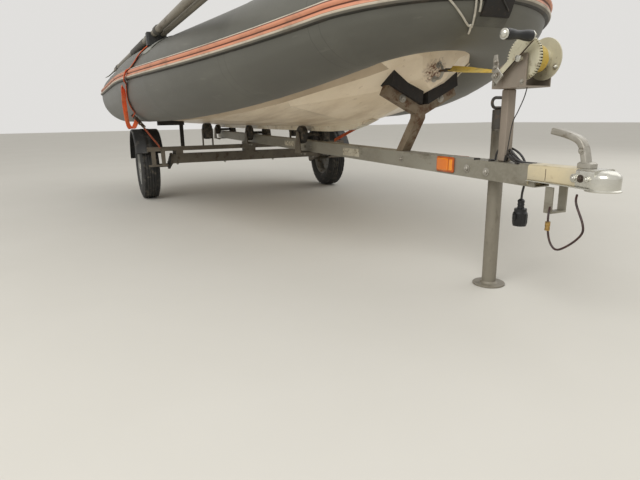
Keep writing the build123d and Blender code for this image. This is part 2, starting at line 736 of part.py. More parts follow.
# Bow eye: an upright U bolt on the nose facet, and the winch webbing that is pulled tight to it
eye_z = 738.0                # height of its middle
eye_half = 24.0
eye_reach = 34.0
rod_r = 5.0
eye_ahead = nose_foot + (eye_z - foot_z) * sin(lean) / cos(lean)
with BuildPart() as bow_eye:
    with BuildSketch(Plane(origin=(fwd(eye_ahead), rod_r, eye_z), x_dir=(1, 0, 0), z_dir=(0, -1, 0))):
        with Locations((0, 0)):
            SlotOverall(2 * (eye_reach + rod_r), 2 * (eye_half + rod_r))
            SlotOverall(2 * (eye_reach - rod_r), 2 * (eye_half - rod_r), mode=Mode.SUBTRACT)
    extrude(amount=2 * rod_r)
    add(hull.part, mode=Mode.SUBTRACT)
save(bow_eye.part, "bow_eye")

ring_back = eye_ahead + eye_reach - 13
ring_length = 50.0
ring_width = 30.0
ring_rod = 4.0
with BuildPart() as hook:
    ring_middle = fwd(ring_back + ring_length / 2)
    with BuildSketch(Plane(origin=(ring_middle, 0, eye_z - ring_rod), x_dir=(1, 0, 0), z_dir=(0, 0, 1))):
        SlotOverall(ring_length + 2 * ring_rod, ring_width)
        SlotOverall(ring_length - 2 * ring_rod, ring_width - 4 * ring_rod, mode=Mode.SUBTRACT)
    extrude(amount=2 * ring_rod)
save(hook.part, "webbing_hook")

web_half = 1.0               # half the webbing's thickness
web_z_drum = gear_z - wound_r - web_half - 0.6
web_end = ring_back + ring_length + ring_rod
web_mid_y = drum_stb_y + gear_thick + 4 + strap_width / 2
web_drum_ahead = gear_ahead - 3
with BuildPart() as webbing:
    with BuildSketch(Plane(origin=(0, web_mid_y + strap_width / 2, 0), x_dir=(1, 0, 0), z_dir=(0, -1, 0))):
        with BuildLine():
            Polyline((fwd(web_end), eye_z - web_half), (fwd(web_drum_ahead), web_z_drum - web_half),
                     (fwd(web_drum_ahead), web_z_drum + web_half), (fwd(web_end), eye_z + web_half), close=True)
        make_face()
    extrude(amount=strap_width)
save(webbing.part, "winch_webbing")

# Prop stand in its clamp on the port side of the drawbar
clamp_wall = 4.0
stand_y = bar_size / 2 + stand_r + clamp_wall
clamp_low = bar_under(stand_ahead)
with BuildPart() as clamp:
    with Locations((fwd(stand_ahead), stand_y, clamp_low + bar_size / 2)):
        Box(72, 2 * (stand_r + clamp_wall), bar_size - 4)
    with BuildSketch(Plane(origin=(fwd(stand_ahead), stand_y, clamp_low), x_dir=(1, 0, 0), z_dir=(0, 0, 1))):
        Circle(stand_r + stand_gap)
    extrude(amount=bar_size, mode=Mode.SUBTRACT)
save(clamp.part, "prop_stand_clamp")

with BuildPart() as stand:
    with BuildSketch(Plane(origin=(fwd(stand_ahead), stand_y, 0), x_dir=(1, 0, 0), z_dir=(0, 0, 1))):
        Circle(foot_r)
    extrude(amount=foot_thick)
    with BuildSketch(Plane(origin=(fwd(stand_ahead), stand_y, foot_thick), x_dir=(1, 0, 0), z_dir=(0, 0, 1))):
        Circle(stand_r)
        Circle(stand_r - stand_wall, mode=Mode.SUBTRACT)
    extrude(amount=stand_top - foot_thick)
    with BuildSketch(Plane(origin=(fwd(stand_ahead), stand_y, stand_top - 8), x_dir=(1, 0, 0), z_dir=(0, 0, 1))):
        Circle(stand_r)
    extrude(amount=8)
save(stand.part, "prop_stand")
handle_length = 84.0
handle_height = 42.0
handle_rod = 10.0
with BuildPart() as handle:
    with BuildSketch(Plane(origin=(fwd(stand_ahead) - handle_rod / 2, stand_y, stand_top + handle_height / 2),
                           x_dir=(0, 1, 0), z_dir=(1, 0, 0))):
        SlotOverall(handle_length, handle_height)
        SlotOverall(handle_length - 2 * handle_rod, handle_height - 2 * handle_rod, mode=Mode.SUBTRACT)
    extrude(amount=handle_rod)
save(handle.part, "stand_handle")

# Coupling head at the front of the drawbar, with its lever
with BuildPart() as coupling:
    x0, x1 = bar_front - 60, coupling_reach - head_r
    low, high = bar_under(bar_front), bar_top(x0) + 0.3
    box_between(x0, bar_front, -bar_size / 2 - 5, -bar_size / 2, low, high + 4)
    box_between(x0, bar_front, bar_size / 2, bar_size / 2 + 5, low, high + 4)
    box_between(x0, bar_front, -bar_size / 2 - 5, bar_size / 2 + 5, high, high + 5)
    box_between(bar_front, x1, -bar_size / 2 - 5, bar_size / 2 + 5, low + 8, high + 5)
    with BuildSketch(Plane(origin=(fwd(x1), 0, low - 12), x_dir=(1, 0, 0), z_dir=(0, 0, 1))):
        Circle(head_r)
    extrude(amount=high + 5 - low + 12)
    with Locations((fwd(x1), 0, low - 4)):
        Sphere(ball_r, mode=Mode.SUBTRACT)
save(coupling.part, "coupling")
lever_half = 14.0
with BuildPart() as lever:
    with BuildSketch(Plane(origin=(0, lever_half, 0), x_dir=(1, 0, 0), z_dir=(0, -1, 0))):
        with BuildLine():
            seat = high + 5
            Polyline((fwd(3160), seat), (fwd(3136), seat), (fwd(3122), seat + 66), (fwd(3030), seat + 88),
                     (fwd(3026), seat + 100), (fwd(3050), seat + 106), (fwd(3140), seat + 82), close=True)
        make_face()
    extrude(amount=2 * lever_half)
save(lever.part, "coupling_lever")

# Bracket under the drawbar behind the coupling
under_ahead = 3062.0
with BuildPart() as under_bracket:
    for side in (1, -1):
        box_between(under_ahead - 13, under_ahead + 13, side * 25, side * 30, 316, bar_under(under_ahead) + 8)
    box_between(under_ahead - 13, under_ahead + 13, -30, 30, 311, 316)
save(under_bracket.part, "under_bracket")

# Amber reflectors on both sides of the drawbar
reflector_ahead = 2618.0
reflector_length = 92.0
reflector_height = 54.0
reflector_thick = 12.0
with BuildPart() as reflectors:
    for side in (1, -1):
        y = side * (bar_size + reflector_thick) / 2
        with Locations((fwd(reflector_ahead), y, bar_mid(reflector_ahead) + 3)):
            Box(reflector_length, reflector_thick, reflector_height)
    fillet(reflectors.edges().filter_by(Axis.Y), radius=5)
save(reflectors.part, "side_reflectors")

# Rowlock pads on the tubes with their blocks, and the oars in the starboard one
rowlock_ahead = 1180.0
pad_length = 170.0
pad_skin = 5.0
block_low, block_high = 960.0, 1024.0
block_length = 68.0
block_inner, block_outer = 735.0, 835.0
# oar: place of its aft end, place of its forward end, radius
oar_runs = {"outer": ((-380.0, -893.0, 980.0), (2110.0, -744.0, 1040.0), 17.0),
            "inner": ((1150.0, -757.0, 1017.0), (2110.0, -700.0, 1040.0), 15.0)}
blade_across = Vector(0.0, 0.77, 0.64)
# distance behind the shaft's end, width, thickness
blade_sections = [(-60.0, 24.0, 20.0), (60.0, 124.0, 12.0), (420.0, 108.0, 8.0)]
with BuildPart() as oars:
    for back, front, r in oar_runs.values():
        start, end = (Vector(fwd(ahead), y, z) for ahead, y, z in (back, front))
        with BuildSketch(Plane(origin=start, z_dir=end - start)):
            Circle(r)
        extrude(amount=(end - start).length)
    start, end = (Vector(fwd(ahead), y, z) for ahead, y, z in oar_runs["outer"][:2])
    along = (end - start).normalized()
    for behind, width, thick in blade_sections:
        with BuildSketch(Plane(origin=start - along * behind, x_dir=blade_across, z_dir=along)):
            Rectangle(width, thick)
    loft(ruled=True)
    for tube in (tube_stb, tube_bow):
        add(tube.part, mode=Mode.SUBTRACT)
save(oars.part, "oars")
rowlock_heading = heading_at(rowlock_ahead)
with BuildPart() as pads:
    add(tube_length((rowlock_heading - 4, rowlock_heading, rowlock_heading + 4), pad_skin))
    x, y = tube_point(rowlock_heading)
    z = tube_height(rowlock_ahead)
    with Locations((fwd(rowlock_ahead), y + 110, z + tube_r)):
        Box(pad_length, 150, tube_r + 60, mode=Mode.INTERSECT)
    add(tube_port.part, mode=Mode.SUBTRACT)
    mirror(about=Plane.XZ)
save(pads.part, "rowlock_pads")
with BuildPart() as blocks:
    box_between(rowlock_ahead - block_length / 2, rowlock_ahead + block_length / 2, block_inner, block_outer,
                block_low, block_high)
    fillet(blocks.edges().filter_by(Axis.Z), radius=10)
    for piece in (tube_port, pads):
        add(piece.part, mode=Mode.SUBTRACT)
    mirror(about=Plane.XZ)
    add(oars.part, mode=Mode.SUBTRACT)
save(blocks.part, "rowlock_blocks")

# Grab handle on the nose of the bow tube
grab_skin = 14.0
with BuildPart() as grab:
    add(tube_length((67.0, 79.0, 90.0), grab_skin))
    mirror(about=Plane.XZ)
    with Locations((fwd(tube_nose + bow_tube_r), 0, tube_height(tube_nose) - 66)):
        Box(120, 116, 62, mode=Mode.INTERSECT)
    for piece in (tube_bow, strake):
        add(piece.part, mode=Mode.SUBTRACT)
save(grab.part, "bow_handle")


def band(points, across, width, thick):
    """A flat strap through places, each with the way that its width points."""
    with BuildPart() as strap:
        for k in range(len(points) - 1):
            start, end = Vector(*points[k]), Vector(*points[k + 1])
            way = (end - start).normalized()
            wide = Vector(*across[k])
            wide = (wide - way * wide.dot(way)).normalized()
            with BuildSketch(Plane(origin=start - way * thick / 2, x_dir=wide, z_dir=way)):
                Rectangle(width, thick)
            extrude(amount=(end - start).length + thick)
    return strap.part


# Tie-down straps from the rowlocks over the strake, with ratchets and hooks at the cross member
strap_thick = 3.0
strap_wide = 26.0
strap_lift = 4.0             # the strap's middle above what it lies on
ratchet_top = (700.0, 893.0, 612.0)
ratchet_foot = (600.0, 836.0, 549.0)
ratchet_wide, ratchet_deep = 44.0, 22.0
# ahead of the axle, angle up round the tube, above and below the strake
turns_above = ((1155.0, 54.0), (1125.0, 46.0), (1092.0, 37.0), (1045.0, 26.0), (1000.0, 19.0))
turns_below = ((905.0, -6.0), (850.0, -20.0), (790.0, -34.0), (735.0, -46.0))
strake_crossing = ((975.0, 0.5), (950.0, -0.5))    # ahead of the axle, share of the strake's height


def on_tube(ahead, angle):
    """Place of a strap's middle that lies on the port tube or its pad, at an angle up round it."""
    _, y = tube_point(heading_at(ahead))
    over_pad = abs(ahead - rowlock_ahead) < pad_length / 2 + strap_lift
    r = tube_radius(ahead) + strap_lift + (pad_skin if over_pad else 0.0)
    return fwd(ahead), y + r * cos(radians(angle)), tube_height(ahead) + r * sin(radians(angle))


def over_strake(ahead, share):
    """Place of a strap's middle that lies on the port strake."""
    _, y = tube_point(heading_at(ahead))
    z = tube_height(ahead) + strake_middle(ahead) + share * (strake_height + 2 * strap_lift)
    return fwd(ahead), y + tube_radius(ahead) + strake_thick + strap_thick, z


over = [on_tube(*turn) for turn in turns_above] + [over_strake(*crossing) for crossing in strake_crossing]
over += [on_tube(*turn) for turn in turns_below] + [(fwd(ratchet_top[0]), *ratchet_top[1:])]
hook = [(fwd(ratchet_foot[0]), *ratchet_foot[1:]),
        (fwd(rail_ahead + 6), 700.0, rail_z + (rail_size + strap_thick) / 2)]
# the starboard strap's loose tail, from the strake down to the ratchet: ahead of the axle, to starboard, height
tail = [(905.0, 959.5, 775.0), (880.0, 952.0, 740.0), (800.0, 947.0, 675.0), (760.0, 935.0, 560.0),
        (725.0, 905.0, 540.0), (672.0, 872.0, 590.0)]
with BuildPart() as straps:
    for run in (over, hook):
        add(band(run, [(1, 0, 0)] * len(run), strap_wide, strap_thick))
    mirror(about=Plane.XZ)
    loose = [(fwd(ahead), -y, z) for ahead, y, z in tail]
    add(band(loose, [(1, 0, 0)] * len(loose), strap_wide, strap_thick))
    for piece in (tube_port, tube_stb, tube_bow, strake, pads, blocks, guards, rail, oars):
        add(piece.part, mode=Mode.SUBTRACT)
save(straps.part, "tie_down_straps")
with BuildPart() as ratchets:
    start, end = (Vector(fwd(ahead), y, z) for ahead, y, z in (ratchet_top, ratchet_foot))
    way = (end - start).normalized()
    wide = (Vector(1, 0, 0) - way * way.X).normalized()
    with BuildSketch(Plane(origin=start, x_dir=wide, z_dir=way)):
        Rectangle(ratchet_wide, ratchet_deep)
    extrude(amount=(end - start).length)
    fillet(ratchets.edges(), radius=4)
    mirror(about=Plane.XZ)
    for piece in (tube_port, tube_stb, guards, straps):
        add(piece.part, mode=Mode.SUBTRACT)
save(ratchets.part, "strap_ratchets")


def cord(route, diameter, name):
    """A round cord of straight runs joined by the largest tangent arcs; its route is in real places."""
    points = [Vector(fwd(ahead), y, z) for ahead, y, z in route]
    runs = [b - a for a, b in zip(points, points[1:])]
    radii = []
    for first, last in zip(runs, runs[1:]):
        half_turn = radians(first.get_angle(last)) / 2
        radii.append(0.45 * min(first.length, last.length) * cos(half_turn) / sin(half_turn))
    with BuildPart() as line:
        with BuildLine() as path:
            FilletPolyline(*points, radius=radii)
        with BuildSketch(Plane(origin=points[0], z_dir=runs[0])):
            Circle(diameter / 2)
        sweep(path=path.wires()[0])
    save(line.part, name)
    return line.part


# Light lead from the drawbar's top past the winch post, down to its hanging plug
lead_d = 7.0
lead_top = bar_top(2812.0)
lead_route = [
    (2812.0, 10.0, lead_top + 0.2), (2812.0, 10.0, lead_top + 24), (2822.0, 20.0, lead_top + 40), (2842.0, 30.0, lead_top + 44),
    (2872.0, 36.0, lead_top + 34), (2897.0, 40.0, lead_top + 14), (2910.0, 42.0, lead_top - 14), (2914.0, 42.0, lead_top - 48),
    (2909.0, 38.0, lead_top - 82), (2907.0, 36.0, lead_top - 100), (2907.0, 36.0, lead_top - 118),
]
cord(lead_route, lead_d, "light_lead")
plug_top = lead_route[-1][2]
plug_sizes = ((11.0, 26.0), (19.0, 12.0), (22.0, 44.0))    # radius, height
with BuildPart() as plug:
    x, y, z = fwd(lead_route[-1][0]), lead_route[-1][1], plug_top
    for r, height in plug_sizes:
        z -= height
        with BuildSketch(Plane(origin=(x, y, z), x_dir=(1, 0, 0), z_dir=(0, 0, 1))):
            Circle(r)
        extrude(amount=height)
save(plug.part, "lead_plug")

# Safety cable that hangs in a loop from the bracket to the coupling
cable_d = 6.0
cable_route = [
    (3073.0, -33.0, 330.0), (3079.0, -43.0, 322.0), (3083.0, -49.0, 306.0), (3085.0, -50.0, 282.0),
    (3090.0, -50.0, 252.0), (3101.0, -50.0, 230.0), (3119.0, -50.0, 218.0), (3145.0, -50.0, 232.0),
    (3176.0, -50.0, 258.0), (3196.0, -50.0, 284.0), (3190.0, -49.0, 308.0), (3176.0, -47.0, 330.0),
    (3160.0, -41.0, 350.0), (3150.0, -33.0, 364.0), (3146.0, -24.0, 374.0),
]
safety_cable = cord(cable_route, cable_d, "safety_cable")
with BuildPart() as ferrule:
    with BuildSketch(Plane(origin=(fwd(3084.6), -50, 268), x_dir=(1, 0, 0), z_dir=(0, 0, 1))):
        Circle(7)
    extrude(amount=26)
    add(safety_cable, mode=Mode.SUBTRACT)
save(ferrule.part, "cable_ferrule")
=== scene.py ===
import logging
import math
from dataclasses import dataclass
from enum import Enum
from typing import Callable, Optional, Sequence, Union

import bmesh
import bpy
import numpy as np
from mathutils import Matrix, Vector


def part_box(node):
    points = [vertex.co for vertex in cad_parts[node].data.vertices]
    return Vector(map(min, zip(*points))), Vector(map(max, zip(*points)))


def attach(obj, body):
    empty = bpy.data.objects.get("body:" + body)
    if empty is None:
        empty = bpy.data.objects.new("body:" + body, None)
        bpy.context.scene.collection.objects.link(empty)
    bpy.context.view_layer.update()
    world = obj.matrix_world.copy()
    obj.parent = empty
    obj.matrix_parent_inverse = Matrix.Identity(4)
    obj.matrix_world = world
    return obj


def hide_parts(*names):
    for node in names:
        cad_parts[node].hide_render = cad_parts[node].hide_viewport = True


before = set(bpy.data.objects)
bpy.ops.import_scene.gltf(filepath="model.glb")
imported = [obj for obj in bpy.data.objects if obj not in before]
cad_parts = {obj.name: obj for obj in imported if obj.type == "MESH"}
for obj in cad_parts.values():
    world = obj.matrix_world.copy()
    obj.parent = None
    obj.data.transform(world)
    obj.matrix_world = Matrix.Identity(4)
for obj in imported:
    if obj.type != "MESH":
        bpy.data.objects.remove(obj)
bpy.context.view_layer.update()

log = logging.getLogger("boat_on_trailer")
Array = np.ndarray
Colour = int                 # a colour's code on screen, such as 0xe2d2ad
Point = Sequence[float]

ROOT = "boat_on_trailer"
AXLE_X = -1.1                # the wheel axle's place along the boat
TURN = 2 * math.pi
UP = np.array([0.0, 0.0, 1.0])
AHEAD = np.array([1.0, 0.0, 0.0])
PORT = np.array([0.0, 1.0, 0.0])
STARBOARD = np.array([0.0, -1.0, 0.0])
MIRROR = np.array([1.0, -1.0, 1.0])
ZINC_CELLS = 120.0           # crystals in a metre of galvanised steel
MERGE = 2e-6                 # points closer than this become one
FLOOR_REACH = 30.0           # half the size of the studio's floor
FLOOR_DROP = 0.0002          # how far it lies under the wheels, so that they don't flicker into it


def place(ahead: float, y: float, z: float) -> Array:
    """A point in the frame's axes.

    Args:
        ahead: Distance ahead of the axle.
        y: Distance to port.
        z: Height above the floor.
    Returns:
        The point.
    """
    return np.array([AXLE_X + ahead, y, z])


def places(rows: Sequence[Point]) -> Array:
    """Points in the frame's axes.

    Args:
        rows: The numbers that place takes, one row for each point.
    Returns:
        The points, one a row.
    """
    return np.asarray(rows, float) + np.array([AXLE_X, 0.0, 0.0])


def unit(vectors: Array) -> Array:
    """Vectors scaled to length one."""
    return vectors / np.linalg.norm(vectors, axis=-1, keepdims=True)


def lengths(line: Array) -> Array:
    """Length run at each point of a line, from 0 at the first."""
    return np.concatenate([[0.0], np.cumsum(np.linalg.norm(np.diff(line, axis=0), axis=-1))])


def turns(count: int) -> Array:
    """Equal angles round a full turn, from 0."""
    return np.arange(count) * (TURN / count)


def linear(colour: int) -> tuple[float, float, float, float]:
    """A colour as linear light, as the shader takes it.

    Args:
        colour: Its code on screen, from 0x000000 to 0xffffff.
    Returns:
        Red, green, blue and alpha from 0 to 1.
    """
    shades = ((colour >> shift & 255) / 255 for shift in (16, 8, 0))
    return (*(((c + 0.055) / 1.055) ** 2.4 if c > 0.04045 else c / 12.92 for c in shades), 1.0)


def show(name: str, data: bpy.types.ID) -> bpy.types.Object:
    """Puts a mesh, a curve, a camera or a lamp into the scene.

    Args:
        name: The object's name.
        data: What it shows.
    Returns:
        The object.
    """
    thing = bpy.data.objects.new(name, data)
    bpy.context.scene.collection.objects.link(thing)
    return thing


def facing(right: Array, above: Array, back: Array, at: Point) -> Matrix:
    """The placement of a camera or a lamp, which looks away from its back.

    Args:
        right: Its own X axis.
        above: Its own Y axis.
        back: Its own Z axis.
        at: Where it stands.
    Returns:
        The matrix.
    """
    turn = np.eye(4)
    turn[:3, :3] = np.column_stack([right, above, back])
    turn[:3, 3] = at
    return Matrix(turn.tolist())


def operator(operation: str, reflected: bool = False) -> Callable[["Wire", object], "Wire"]:
    """Makes one of Wire's operators.

    Args:
        operation: The Math node's operation.
        reflected: Whether the wire is the node's second value.
    Returns:
        The method, which adds the node and gives its result.
    """
    def method(wire: "Wire", other: object) -> "Wire":
        """Applies the operation to the wire and another wire or value."""
        first, second = (other, wire) if reflected else (wire, other)
        return wire.paint.node("ShaderNodeMath", {"operation": operation}, {0: first, 1: second})

    return method


class Wire:
    """A shader socket that takes part in Python expressions."""

    __add__ = __radd__ = operator("ADD")
    __sub__ = operator("SUBTRACT")
    __rsub__ = operator("SUBTRACT", reflected=True)
    __mul__ = __rmul__ = operator("MULTIPLY")

    def __init__(self, paint: "Paint", socket: bpy.types.NodeSocket) -> None:
        """Keeps the socket and the paint whose nodes an expression adds to."""
        self.paint = paint
        self.socket = socket

    def __abs__(self) -> "Wire":
        """The value without its sign."""
        return self.paint.node("ShaderNodeMath", {"operation": "ABSOLUTE"}, {0: self})

    def clipped(self) -> "Wire":
        """The value held between 0 and 1."""
        return self.paint.node("ShaderNodeMath", {"operation": "ADD", "use_clamp": True},
                               {0: self, 1: 0.0})

    def above(self, edge: float, soft: float) -> "Wire":
        """A mask that rises from 0 to 1 across an edge.

        Args:
            edge: The value in the middle of the rise.
            soft: The width of the rise.
        Returns:
            The mask.
        """
        return ((self - edge) * (1 / soft) + 0.5).clipped()

    def near(self, middle: float, half: float, soft: float) -> "Wire":
        """A mask that is 1 within half of the middle and 0 beyond.

        Args:
            middle: The value in the middle of the band.
            half: Half the width of the band.
            soft: The width of its edges.
        Returns:
            The mask.
        """
        return 1 - abs(self - middle).above(half, soft)


class Paint:
    """One material and the nodes that a finish adds to it."""

    def __init__(self, name: str) -> None:
        """Makes an empty material with its principled shader."""
        self.material = bpy.data.materials.new(name)
        self.material.use_nodes = True
        self.tree = self.material.node_tree
        self.shader = self.tree.nodes["Principled BSDF"]
        self.coordinates = self.tree.nodes.new("ShaderNodeTexCoord")

    def node(self, kind: str, settings: Optional[dict] = None, values: Optional[dict] = None,
             output: Union[int, str] = 0) -> Wire:
        """Adds a node.

        Args:
            kind: The node's type.
            settings: Its own settings, set first.
            values: Values or wires of its input sockets, by name or number.
            output: Which output to return.
        Returns:
            The output as a wire.
        """
        made = self.tree.nodes.new(kind)
        for key, value in (settings or {}).items():
            setattr(made, key, value)
        for key, value in (values or {}).items():
            if isinstance(value, Wire):
                self.tree.links.new(value.socket, made.inputs[key])
            else:
                made.inputs[key].default_value = value
        return Wire(self, made.outputs[output])

    def on_object(self, stretch: Point = (1.0, 1.0, 1.0)) -> Wire:
        """Object coordinates, stretched along each axis."""
        coordinates = Wire(self, self.coordinates.outputs["Object"])
        return self.node("ShaderNodeMapping", None, {"Vector": coordinates, "Scale": tuple(stretch)})

    def across(self, axis: str) -> Wire:
        """One coordinate of the piece's own UV map, in metres: X along it, Y across it."""
        uv = Wire(self, self.coordinates.outputs["UV"])
        return self.node("ShaderNodeSeparateXYZ", None, {0: uv}, axis)

    def coordinate(self, axis: str) -> Wire:
        """One object coordinate, in metres: Z is the height above the floor."""
        return self.node("ShaderNodeSeparateXYZ", None, {0: self.on_object()}, axis)

    def noise(self, scale: float, detail: float = 3.0, stretch: Point = (1.0, 1.0, 1.0)) -> Wire:
        """Cloudy noise around 0.5 in object coordinates.

        Args:
            scale: Clouds in a metre.
            detail: Finer layers.
            stretch: Scale along each axis.
        Returns:
            The noise value.
        """
        return self.node("ShaderNodeTexNoise", None, {
            "Vector": self.on_object(stretch), "Scale": scale, "Detail": detail, "Roughness": 0.6})

    def cells(self, scale: float) -> Wire:
        """Grey level of random cells, as on a zinc coat, with scale of them in a metre."""
        cell = self.node("ShaderNodeTexVoronoi", {"feature": "F1"},
                         {"Vector": self.on_object(), "Scale": scale}, "Color")
        return self.node("ShaderNodeSeparateColor", None, {0: cell}, 0)

    def blend(self, low: Union[Wire, Colour], high: Union[Wire, Colour], share: Wire) -> Wire:
        """A colour between two colours.

        Args:
            low: Colour where the share is 0.
            high: Colour where the share is 1.
            share: A value from 0 to 1.
        Returns:
            The mixed colour.
        """
        low, high = (c if isinstance(c, Wire) else linear(c) for c in (low, high))
        return self.node("ShaderNodeMix", {"data_type": "RGBA"}, {0: share, 6: low, 7: high}, 2)

    def bands(self, value: Wire, stops: Sequence[tuple[float, Colour]]) -> Wire:
        """Flat colour bands with slightly soft edges.

        Args:
            value: The coordinate across the bands, from 0 to 1.
            stops: Where each band starts, and its colour.
        Returns:
            The colour.
        """
        made = self.tree.nodes.new("ShaderNodeValToRGB")
        ramp = made.color_ramp
        soft = 0.006             # half the width of an edge
        spots = [stops[0]]
        for (_, before), (start, after) in zip(stops, stops[1:]):
            spots += [(start - soft, before), (start + soft, after)]
        while len(ramp.elements) < len(spots):
            ramp.elements.new(1.0)
        for element, (spot, colour) in zip(ramp.elements, spots):
            element.position = spot
            element.color = linear(colour)
        self.tree.links.new(value.socket, made.inputs[0])
        return Wire(self, made.outputs[0])

    def relief(self, height: Wire, depth: float) -> Wire:
        """A bumped normal.

        Args:
            height: The relief, from 0 to 1.
            depth: Its depth in metres.
        Returns:
            The normal.
        """
        return self.node("ShaderNodeBump", None,
                         {"Strength": 1.0, "Distance": depth, "Height": height}, "Normal")

    def close(self, colour: Wire, rough: Union[Wire, float], normal: Optional[Wire] = None,
              metal: float = 0.0, coat: float = 0.0, sheen: float = 0.0) -> bpy.types.Material:
        """Links what varies to the shader and sets what doesn't.

        Args:
            colour: Base colour.
            rough: Roughness.
            normal: Bumped normal.
            metal: Metallic share.
            coat: Weight of a clear coat.
            sheen: Weight of a soft sheen.
        Returns:
            The finished material.
        """
        settings = {"Base Color": colour, "Roughness": rough, "Normal": normal, "Metallic": metal,
                    "Coat Weight": coat, "Sheen Weight": sheen}
        for key, value in settings.items():
            if isinstance(value, Wire):
                self.tree.links.new(value.socket, self.shader.inputs[key])
            elif value is not None:
                self.shader.inputs[key].default_value = value
        return self.material


@dataclass(frozen=True)
class Finish:
    """What all finishes have.

    Args:
        slot: Name of a material slot; not used.
    """

    slot: str

    def material(self, name: str) -> bpy.types.Material:
        """Builds the finish.

        Args:
            name: The material's name.
        Returns:
            The material.
        """
        return self.layers(Paint(name))

    def layers(self, paint: Paint) -> bpy.types.Material:
        """Adds the finish's layers to an empty material, and closes it.

        Args:
            paint: The empty material.
        Returns:
            The finished material.
        """
        raise NotImplementedError


@dataclass(frozen=True)
class Worn(Finish):
    """A surface with patches, fine grain, stains and spots.

    Args:
        colour: Main colour.
        second: Colour of its large patches.
        stain: Colour of its stains.
        stained: Share of the surface that the stains take.
        patch: Patches in a metre.
        grain: Grains in a metre.
        depth: Depth of the grain in metres.
        rough: Roughness.
        metal: Metallic share.
        stretch: Scale of the patches along each axis.
        zinc: Strength of zinc cells.
        coat: Weight of a clear coat.
    """

    colour: Colour
    second: Colour
    stain: Colour
    stained: float = 0.2
    patch: float = 5.0
    grain: float = 300.0
    depth: float = 0.0003
    rough: float = 0.6
    metal: float = 0.0
    stretch: tuple[float, float, float] = (1.0, 1.0, 1.0)
    zinc: float = 0.0
    coat: float = 0.0

    def layers(self, paint: Paint) -> bpy.types.Material:
        """Clouds of two colours, then stains, then fine spots, over a grain."""
        clouds = paint.noise(self.patch, 4.0, self.stretch)
        grain = paint.noise(self.grain, 2.0)
        colour = paint.blend(self.colour, self.second, clouds.above(0.5, 0.25))
        if self.zinc:
            colour = paint.blend(colour, self.second, paint.cells(ZINC_CELLS) * self.zinc)
        dirt = paint.noise(self.patch * 2.7, 6.0, self.stretch)
        colour = paint.blend(colour, self.stain, dirt.above(0.725 - 0.5 * self.stained, 0.14))
        fine = paint.noise(self.grain * 0.35, 4.0)
        colour = paint.blend(colour, self.stain, fine.above(0.64, 0.08) * (0.5 * self.stained))
        rough = ((clouds - 0.5) * 0.25 + (grain - 0.5) * 0.15 + self.rough).clipped()
        return paint.close(colour, rough, paint.relief(grain, self.depth), self.metal, self.coat)


@dataclass(frozen=True)
class TubeCloth(Finish):
    """Coated tube fabric: a fine weave under a matt coat, welded tapes, scuffs and dust.

    Args:
        colour: The coat.
        dust: Pale dust on it.
        tape: Colour along the edges of the tapes.
        tapes: Places of the ring tapes, ahead of the axle.
        tape_half: Half the width of a ring tape.
    """

    colour: Colour
    dust: Colour
    tape: Colour
    tapes: tuple[float, ...]
    tape_half: float

    def layers(self, paint: Paint) -> bpy.types.Material:
        """Dust and scuffs over a fine weave; the tapes' edges are thin darker lines."""
        clouds = paint.noise(2.2, 5.0, (0.6, 1.0, 1.4))
        colour = paint.blend(self.colour, self.dust, clouds.above(0.62, 0.35) * 0.45)
        scuffs = paint.noise(9.0, 6.0, (0.5, 1.0, 3.0))
        colour = paint.blend(colour, self.dust, scuffs.above(0.68, 0.1) * 0.35)
        edges = (AXLE_X + ahead + way * self.tape_half for ahead in self.tapes for way in (-1, 1))
        along = paint.coordinate("X")
        line = sum(along.near(edge, 0.0012, 0.002) for edge in edges)
        colour = paint.blend(colour, self.tape, line.clipped() * 0.45)
        weave = paint.noise(1100.0, 1.0)
        rough = ((clouds - 0.5) * 0.3 + 0.52).clipped()
        return paint.close(colour, rough, paint.relief(weave, 0.00015), sheen=0.1)


@dataclass(frozen=True)
class StripedRubber(Finish):
    """The rubbing strake's rubber with its printed stripes, and painted shadow in its lowest band.

    Args:
        half: Half the strake's height.
        stripes: Start of each stripe as a share of the height, from the bottom, and its colour.
        dirt: Colour of the dirt.
    """

    half: float
    stripes: tuple[tuple[float, Colour], ...]
    dirt: Colour

    def layers(self, paint: Paint) -> bpy.types.Material:
        """Stripes over the second UV coordinate, which is the height on the strake."""
        share = paint.across("Y") * (0.5 / self.half) + 0.5
        wobble = (paint.noise(14.0, 2.0) - 0.5) * 0.02
        colour = paint.bands(share + wobble, self.stripes)
        dirt = paint.noise(22.0, 5.0, (0.4, 1.0, 1.0))
        colour = paint.blend(colour, self.dirt, dirt.above(0.6, 0.2) * 0.45)
        grain = paint.noise(420.0, 2.0)
        rough = ((dirt - 0.5) * 0.4 + 0.55).clipped()
        return paint.close(colour, rough, paint.relief(grain, 0.0002))


